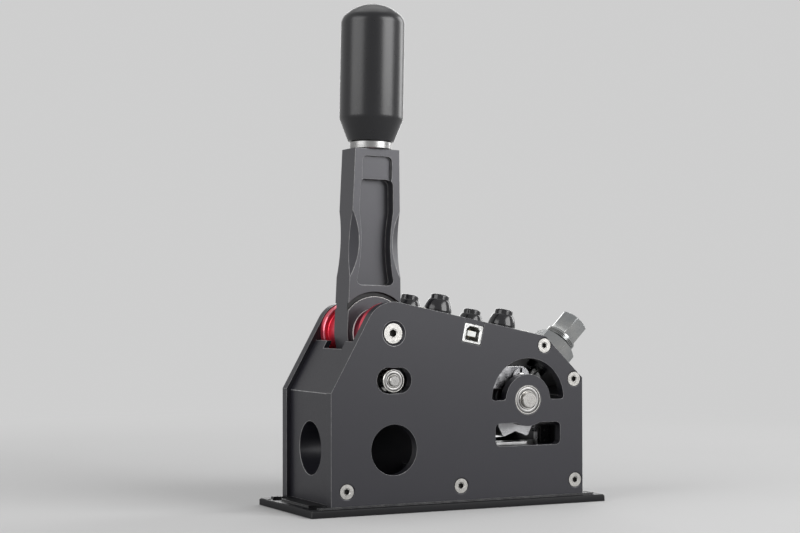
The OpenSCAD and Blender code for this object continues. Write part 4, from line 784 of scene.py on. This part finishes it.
def adjuster_cap():
    """A threaded shank, a round collar with two grooves painted dark as painted shade, and a hexagon with
    turned corners.
    """
    rings = [(0, SHANK_END), (SHANK_R - 0.4, SHANK_END), (SHANK_R, SHANK_END + 0.4)]
    for k in range(SHANK_TURNS):
        rings += [(SHANK_R, SHANK_END + 0.8 + 0.6 * k), (SHANK_R - 0.3, SHANK_END + 1.1 + 0.6 * k)]
    rings += [(SHANK_R, CAP_FOOT), (CAP_R - 0.6, CAP_FOOT), (CAP_R, CAP_FOOT + 0.5)]
    bands = {}
    for groove in (CAP_FOOT + 0.8, CAP_FOOT + 1.6):
        rings += [(CAP_R, groove), (CAP_R - 0.3, groove + 0.15)]
        bands[len(rings) - 1] = 1
        rings += [(CAP_R - 0.3, groove + 0.35), (CAP_R, groove + 0.5)]
    rings += [(CAP_R, HEX_FOOT - 0.25), (CAP_R - 0.25, HEX_FOOT), (CAP_R - 0.3, HEX_FOOT, CAP_KEY - 0.1)]
    rings.append((CAP_R - 0.1, HEX_FOOT + 0.1, CAP_KEY))
    for k in range(7):
        drop = 1.05 - 0.175 * k
        rings.append((7.55 + 1.73 * drop, CAP_TOP - drop, CAP_KEY))
    rings += [(7.2, CAP_TOP), (0, CAP_TOP - 0.05)]
    mesh = revolve(rings, ADJUSTER, ADJUSTER_OUT, ADJUSTER_DOWN, CAP_TURN, 120, bands)
    stand_in("adjuster_cap", mesh, [ZINC, SOCKET_PAINTED_SHADE], 28)


def plunger():
    """A round nose, a shank and a flat collar that the spring sits on."""
    nose_r, collar_r, back = 2.4, 3.95, 25.85
    nose = arc(0, 18.2, nose_r, -90, 0, 10)
    nose[0] = (0, 15.8)
    rings = nose + [(nose_r, 22.84), (collar_r - 0.25, 22.85), (collar_r, 23.1), (collar_r, back - 0.25)]
    rings += [(collar_r - 0.25, back), (0, back)]
    stand_in("plunger", revolve(rings, ADJUSTER, ADJUSTER_OUT, steps=48), [STEEL], 30)


adjuster_cap()
plunger()

# Push buttons

BUTTONS = {"front_left": (FRONT_SPOT, -19), "front_right": (FRONT_SPOT, 19), "rear_left": (REAR_SPOT, -19),
           "rear_right": (REAR_SPOT, 19)}
BEZEL_R = 8.0
RIM_RISE = 8.0
RIM_IN = 2.05
BULGE = (RIM_RISE ** 2 + RIM_IN ** 2) / (2 * RIM_IN)
BULGE_END = math.degrees(math.asin(RIM_RISE / BULGE))
BARREL_R = 5.88
BARREL_TURNS = 15
BUTTON_R = 5.17
NUT_KEY = 14


def bezel(name, along, y):
    """A threaded barrel below the panel and a domed rim above it, hollow for the button."""
    rings = [(0, -16.5), (5.4, -16.5), (BARREL_R, -16.1)]
    for k in range(BARREL_TURNS):
        rings += [(BARREL_R, -15.6 + 0.9 * k), (BARREL_R - 0.28, -15.2 + 0.9 * k)]
    rings += [(5.9, -2.2), (5.9, 0), (7.8, 0), (7.95, 0.1), (BEZEL_R, 0.35), (BEZEL_R, 1.2)]
    rings += [(BEZEL_R - 0.25, 1.35), (BEZEL_R - 0.25, 1.6)]
    rings += [ring for ring in arc(BEZEL_R - BULGE, 0, BULGE, 0, BULGE_END, 14) if 1.75 < ring[1] < 7.7]
    rings += [(5.98, 7.8), (5.85, 7.95), (5.4, 7.95), (5.27, 7.82), (5.27, 2.5), (2.02, 2.5)]
    rings += [(2.02, -9.5), (0, -9.5)]
    stand_in("bezel_" + name, revolve(rings, on_panel(along, y), PANEL_UP, steps=96), [GLOSS], 30)


def push_button(name, along, y):
    """A thin stem and a cap with a rounded, slightly dished top."""
    rings = [(0, -0.7), (1.7, -0.7), (1.88, -0.5), (1.88, 4.3), (4.9, 4.3), (BUTTON_R, 4.55)]
    rings += [(BUTTON_R, 10.0)] + arc(BUTTON_R - 1.0, 10.0, 1.0, 0, 85, 8)[1:]
    rings += [(3.8, 11.0), (3.4, 10.9), (0, 10.75)]
    stand_in("button_" + name, revolve(rings, on_panel(along, y), PANEL_UP, steps=96), [GLOSS], 30)


def bezel_nut(along, y):
    """A hexagon nut below the panel with rounded corners on both faces."""
    rings = [(5.92, -4.7), (6.25, -5.0), (7.3, -5.0, NUT_KEY)]
    rings += [(7.3 + 0.3 * k, -5.0 + 0.125 * k, NUT_KEY) for k in range(1, 5)]
    rings += [(8.5 - 0.3 * k, -3.0 + 0.125 * k, NUT_KEY) for k in range(5)] + [(6.25, -2.5), (5.92, -2.8)]
    return revolve(rings, on_panel(along, y), PANEL_UP, PANEL_ALONG, 0, 72, closed=True)


for name, (along, y) in BUTTONS.items():
    bezel(name, along, y)
    push_button(name, along, y)
stand_in("bezel_nuts", merged([bezel_nut(along, y) for along, y in BUTTONS.values()]), [ZINC], 30)

# Socket

SOCKET_DROP = 8.0
SOCKET_MATRIX = PANEL_MATRIX @ Matrix.Translation((SOCKET_SPOT * MM, -HALF_WID * MM, -SOCKET_DROP * MM))


def outline(corners, rounding, count=3):
    """A rounded polygon's points, going round once."""
    points = []
    total = len(corners)
    for i, corner in enumerate(corners):
        here = Vector(corner)
        before = (Vector(corners[i - 1]) - here).normalized() * rounding
        after = (Vector(corners[(i + 1) % total]) - here).normalized() * rounding
        for k in range(count + 1):
            t = k / count
            points.append(here + before * (1 - t) ** 2 + after * t ** 2)
    return points


def by_angle(points, count=120):
    """Where rays from the middle meet a rounded outline, so that two outlines can be joined."""
    hits = []
    for k in range(count):
        a = 2 * math.pi * (k + 0.5) / count
        ray = Vector((math.cos(a), math.sin(a)))
        for i, p in enumerate(points):
            q = points[(i + 1) % len(points)]
            edge = q - p
            det = ray.x * edge.y - ray.y * edge.x
            if abs(det) < 1e-12:
                continue
            far = (p.x * edge.y - p.y * edge.x) / det
            along = (p.x * ray.y - p.y * ray.x) / det
            if far > 0 and -1e-9 <= along <= 1 + 1e-9:
                hits.append(ray * far)
                break
    return hits


def tube(loops, matrix, bands=None):
    """Skins outlines at their depths one after another and closes both ends; the depth runs along y."""
    bm = bmesh.new()
    rows = []
    for points, depth in loops:
        rows.append([bm.verts.new(matrix @ Vector((p.x * MM, depth * MM, p.y * MM))) for p in points])
    for i in range(len(rows) - 1):
        for k in range(len(rows[i])):
            n = (k + 1) % len(rows[i])
            face = bm.faces.new((rows[i][k], rows[i][n], rows[i + 1][n], rows[i + 1][k]))
            face.material_index = bands.get(i, 0) if bands else 0
    bm.faces.new(rows[0])
    last = bm.faces.new(list(reversed(rows[-1])))
    last.material_index = bands.get(len(rows) - 1, 0) if bands else 0
    return to_mesh(bm)


def boxed(w, h, r=0.5):
    """A rounded rectangle of half width w and half height h."""
    return by_angle(outline([(-w, -h), (w, -h), (w, h), (-w, h)], r))


def mouth(w, h, cut, r=0.4):
    """A rounded rectangle with its two upper corners cut off."""
    return by_angle(outline([(-w, -h), (w, -h), (w, h - cut), (w - cut, h), (-w + cut, h), (-w, h - cut)], r))


def usb_socket():
    """A tin shell with a square mouth, a white tongue with contacts, and two springs at its sides."""
    w, h, edge = 5.95, 5.45, 0.25
    mouth_depth = 11.0
    outer, eased = boxed(w, h), boxed(w - edge, h - edge)
    lip, inner = mouth(4.5, 4.15, 1.8), mouth(4.25, 3.9, 1.7)
    shell = tube([(eased, 15.95), (outer, 15.7), (outer, 0.3), (eased, 0.02), (lip, 0.02), (inner, 0.3),
                  (inner, mouth_depth)], SOCKET_MATRIX, {5: 1, 6: 1})
    core = tube([(boxed(2.75, 1.55, 0.3), 11.2), (boxed(2.75, 1.55, 0.3), 1.75),
                 (boxed(2.55, 1.35, 0.3), 1.55)], SOCKET_MATRIX)
    contacts = []
    for x in (-1.25, 1.25):
        for z in (-1.55, 1.55):
            low, high = (x - 0.45, 2.4, z - 0.1), (x + 0.45, mouth_depth, z + 0.1)
            contacts.append(block(low, high, 0.06, SOCKET_MATRIX))
    springs = []
    for x in (-4.2, 4.2):
        springs.append(block((x - 0.12, 1.2, -1.3), (x + 0.12, 8.5, 1.3), 0.1, SOCKET_MATRIX))
    # The shell's inner walls and back get a darker metal as painted shade.
    shaded_lining = finish("socket_lining_painted_shade", (0.4, 0.4, 0.38), 0.9, 0.4, 0.1, 80, 1200, 0.05)
    stand_in("usb_socket", merged([shell]), [TIN, shaded_lining], 30)
    add_piece("usb_socket_tongue", core, [WHITE], "body")
    add_piece("usb_socket_contacts", merged(contacts), [GOLD], "body")
    add_piece("usb_socket_springs", merged(springs), [TIN], "body")


usb_socket()

# Circuit board parts, on the board's own axes from the middle of its upper face

BOARD_MATRIX = PANEL_MATRIX @ Matrix.Translation((BOARD_MID * MM, 0, -BOARD_DROP * MM))
CHIP_Y = -10
LEAD_OUT = 5.2
LEADS = 8
PIN_PITCH = 2.54


def on_board(kind, low, high, rounding=0.1):
    """Adds a block on the board to one kind of part."""
    kind.append(block(low, high, rounding, BOARD_MATRIX))


def chip_leads(solder):
    """Leads on all four sides of the square chip."""
    for k in range(LEADS):
        for far in (-LEAD_OUT, LEAD_OUT):
            at = k - (LEADS - 1) / 2
            low, high = (at - 0.16, CHIP_Y + far - 0.7, 0.02), (at + 0.16, CHIP_Y + far + 0.7, 0.45)
            on_board(solder, low, high, 0.08)
            low, high = (far - 0.7, CHIP_Y + at - 0.16, 0.02), (far + 0.7, CHIP_Y + at + 0.16, 0.45)
            on_board(solder, low, high, 0.08)


def capacitors(ceramic, solder):
    """Small ceramic blocks with a solder joint at each end."""
    for x, y in ((-8, -13), (-8, -9.5), (8.2, -13), (8.2, -9), (-3, 1), (0.5, 1), (4, 1), (7.5, 2)):
        on_board(ceramic, (x - 0.75, y - 0.6, 0.04), (x + 0.75, y + 0.6, 0.8), 0.08)
        for end in (x - 1.05, x + 1.05):
            on_board(solder, (end - 0.35, y - 0.65, 0.02), (end + 0.35, y + 0.65, 0.62), 0.12)


def board_parts():
    """The chip and the header, their leads and pins, the capacitors and the raised tracks."""
    chips, solder, golden, ceramic, tracks = [], [], [], [], []
    on_board(chips, (-4.5, CHIP_Y - 4.5, 0.15), (4.5, CHIP_Y + 4.5, 1.35), 0.2)
    chip_leads(solder)
    capacitors(ceramic, solder)
    on_board(chips, (-6, 5.2, 0.05), (6, 9.6, 2.4), 0.25)
    for k in range(5):
        on_board(golden, (-5.2 + PIN_PITCH * k, 7.1, -2.6), (-4.6 + PIN_PITCH * k, 7.7, 5.6), 0.12)
    for k in range(7):
        on_board(tracks, (-10 + 0.9 * k, -4.6 + 0.5 * k, 0.0), (-9.7 + 0.9 * k, 4.5, 0.05), 0.02)
        on_board(tracks, (6.0 + 0.8 * k, -4.4, 0.0), (6.25 + 0.8 * k, -1.0 + 0.6 * k, 0.05), 0.02)
    add_piece("board_chips", merged(chips), [PLASTIC], "body")
    add_piece("board_solder", merged(solder), [SOLDER], "body")
    add_piece("board_pins", merged(golden), [GOLD], "body")
    add_piece("board_capacitors", merged(ceramic), [CERAMIC], "body")
    add_piece("board_tracks", merged(tracks), [TRACK], "body")


def board_crystal():
    """The round tin can of the board's crystal."""
    rings = [(0, 0.1), (2.0, 0.1), (2.0, 0.4), (1.75, 0.5), (1.75, 2.9), (1.5, 3.2), (0, 3.2)]
    origin = on_panel(BOARD_MID + 9.2, -3.6, -BOARD_DROP)
    add_piece("board_crystal", revolve(rings, origin, PANEL_UP, steps=48), [TIN], "body")


def board_posts():
    """Brass posts from the panel down through the board, each with a foot below it."""
    r, neck_r, foot_r = 2.5, 1.46, 2.4
    rings = [(0, -16.65), (2.0, -16.65), (foot_r, -16.3), (foot_r, -15.12), (neck_r, -15.1), (neck_r, -13.52)]
    rings += [(r - 0.2, -13.5), (r, -13.3), (r, -2.7), (r - 0.2, -2.5), (0, -2.5)]
    spots = [(BOARD_MID + end, y) for end in (-10.25, 10.25) for y in (-5, 9)]
    posts = [revolve(rings, on_panel(along, y), PANEL_UP, steps=48) for along, y in spots]
    stand_in("board_posts", merged(posts), [BRASS], 30)


board_parts()
board_crystal()
board_posts()

# Switch details

SWITCH_TOP = 43.8
SWITCH_Y = -9.0
SWITCH_OUT = 19.5
LUG_PITCH = 1.7


def switch_details(name, end):
    """Solder lugs under a switch and the heads of its two rivets; end is -1 or 1 from the rocker."""
    lugs, pins = [], []
    for k in range(3):
        x = ROCKER[0] + end * (SWITCH_OUT + 1.5 + LUG_PITCH * k)
        low = (x - 0.3, SWITCH_Y - 4.3, SWITCH_TOP - 16.2)
        high = (x + 0.3, SWITCH_Y - 1.5, SWITCH_TOP - 12.7)
        lugs.append(block(low, high, 0.12))
    for z in (SWITCH_TOP - 3.2, SWITCH_TOP - 9.6):
        x = ROCKER[0] + end * (SWITCH_OUT + 3.6)
        rings = [(0, 0.0), (1.25, 0.0), (1.25, 0.25), (1.0, 0.45), (0, 0.45)]
        pins.append(revolve(rings, (x, SWITCH_Y - 5.85, z), (0, -1, 0), steps=36))
    add_piece("micro_switch_lugs_" + name, merged(lugs), [GOLD], "body")
    add_piece("micro_switch_rivets_" + name, merged(pins), [PLASTIC], "body")


switch_details("front", -1)
switch_details("rear", 1)

# Floor, light and camera

scene = bpy.context.scene
scene.view_settings.view_transform = "Standard"
PALE = 0.62
ROOM_LEVEL = 0.35
FLOOR_R = 40.0
FADE_FROM = 0.25
FADE_TO = 0.85


def any_ray(tree, path):
    """1 for rays that look at the backdrop: from the camera, off gloss or through glass."""
    total = path.outputs["Is Camera Ray"]
    for kind in ("Is Glossy Ray", "Is Transmission Ray"):
        largest = tree.nodes.new("ShaderNodeMath")
        largest.operation = "MAXIMUM"
        tree.links.new(total, largest.inputs[0])
        tree.links.new(path.outputs[kind], largest.inputs[1])
        total = largest.outputs["Value"]
    return total


def pale_floor():
    """A pale diffuse floor that runs into the backdrop's own colour far from the object."""
    mat, tree, bsdf = start("floor_pale", (PALE,) * 3, 0.0, 0.8)
    bsdf.inputs["Specular IOR Level"].default_value = 0.0
    vector = object_coords(tree)
    tree.links.new(ramp(tree, noise(tree, vector, 2), (PALE - 0.01,) * 3, (PALE + 0.01,) * 3),
                   bsdf.inputs["Base Color"])
    glow = tree.nodes.new("ShaderNodeEmission")
    glow.inputs["Color"].default_value = (PALE, PALE, PALE, 1)
    length = tree.nodes.new("ShaderNodeVectorMath")
    length.operation = "LENGTH"
    tree.links.new(vector, length.inputs[0])
    fade = tree.nodes.new("ShaderNodeMapRange")
    fade.interpolation_type = "SMOOTHSTEP"
    fade.inputs["From Min"].default_value = FADE_FROM
    fade.inputs["From Max"].default_value = FADE_TO
    tree.links.new(length.outputs["Value"], fade.inputs["Value"])
    path = tree.nodes.new("ShaderNodeLightPath")
    seen = tree.nodes.new("ShaderNodeMath")
    seen.operation = "MULTIPLY"
    tree.links.new(fade.outputs["Result"], seen.inputs[0])
    tree.links.new(any_ray(tree, path), seen.inputs[1])
    mix = tree.nodes.new("ShaderNodeMixShader")
    tree.links.new(seen.outputs["Value"], mix.inputs["Fac"])
    tree.links.new(bsdf.outputs["BSDF"], mix.inputs[1])
    tree.links.new(glow.outputs["Emission"], mix.inputs[2])
    tree.links.new(mix.outputs["Shader"], tree.nodes["Material Output"].inputs["Surface"])
    return mat


def add_floor():
    """A round floor that reaches far past the picture."""
    bm = bmesh.new()
    bmesh.ops.create_circle(bm, cap_ends=True, radius=FLOOR_R, segments=64)
    mesh = to_mesh(bm, "floor")
    floor = bpy.data.objects.new("floor", mesh)
    scene.collection.objects.link(floor)
    mesh.materials.append(pale_floor())


def add_world():
    """A dim pale room whose backdrop looks as pale as the floor."""
    world = bpy.data.worlds.new("studio")
    scene.world = world
    world.use_nodes = True
    tree = world.node_tree
    room = tree.nodes["Background"]
    room.inputs["Color"].default_value = (PALE, PALE, PALE, 1)
    room.inputs["Strength"].default_value = ROOM_LEVEL
    backdrop = tree.nodes.new("ShaderNodeBackground")
    backdrop.inputs["Color"].default_value = (PALE, PALE, PALE, 1)
    backdrop.inputs["Strength"].default_value = 1.0
    path = tree.nodes.new("ShaderNodeLightPath")
    mix = tree.nodes.new("ShaderNodeMixShader")
    tree.links.new(any_ray(tree, path), mix.inputs["Fac"])
    tree.links.new(room.outputs["Background"], mix.inputs[1])
    tree.links.new(backdrop.outputs["Background"], mix.inputs[2])
    tree.links.new(mix.outputs["Shader"], tree.nodes["World Output"].inputs["Surface"])


def soft_light(name, at, target, width, height, watts):
    """A rectangular lamp that faces a target; metres and watts."""
    light = bpy.data.lights.new(name, "AREA")
    light.energy = watts
    light.shape = "RECTANGLE"
    light.size = width
    light.size_y = height
    lamp = bpy.data.objects.new(name, light)
    scene.collection.objects.link(lamp)
    lamp.location = at
    lamp.rotation_euler = (Vector(target) - Vector(at)).to_track_quat("-Z", "Y").to_euler()


def add_camera():
    """The camera that was fitted to the photograph."""
    yaw, pitch, roll = math.radians(26.5304), math.radians(1.2262), math.radians(-0.0984)
    at = (-0.46343, -0.88556, 0.1152)
    forward = Vector((math.sin(yaw) * math.cos(pitch), math.cos(yaw) * math.cos(pitch), math.sin(pitch)))
    level = Vector((math.cos(yaw), -math.sin(yaw), 0))
    upward = level.cross(forward)
    right = level * math.cos(roll) + upward * math.sin(roll)
    up = upward * math.cos(roll) - level * math.sin(roll)
    lens = bpy.data.cameras.new("camera")
    lens.sensor_width = 36
    lens.lens = 77.66
    camera = bpy.data.objects.new("camera", lens)
    scene.collection.objects.link(camera)
    rows = [(right[i], up[i], -forward[i], at[i]) for i in range(3)]
    camera.matrix_world = Matrix((*rows, (0, 0, 0, 1)))
    scene.camera = camera


add_floor()
add_world()
soft_light("key_light", (0.85, -1.34, 0.75), (0, 0, 0.12), 1.25, 1.1, watts=27)
soft_light("left_light", (-1.5, -0.22, 0.75), (0, 0, 0.14), 1.35, 1.1, watts=12.5)
soft_light("top_light", (0.15, 0.45, 1.7), (0, 0, 0.1), 1.2, 1.2, watts=4)
soft_light("right_light", (1.6, 0.35, 0.7), (0, 0, 0.12), 0.6, 1.0, watts=8)
soft_light("back_light", (0.75, 1.5, 0.55), (0, 0, 0.12), 0.9, 0.9, watts=9)
add_camera()
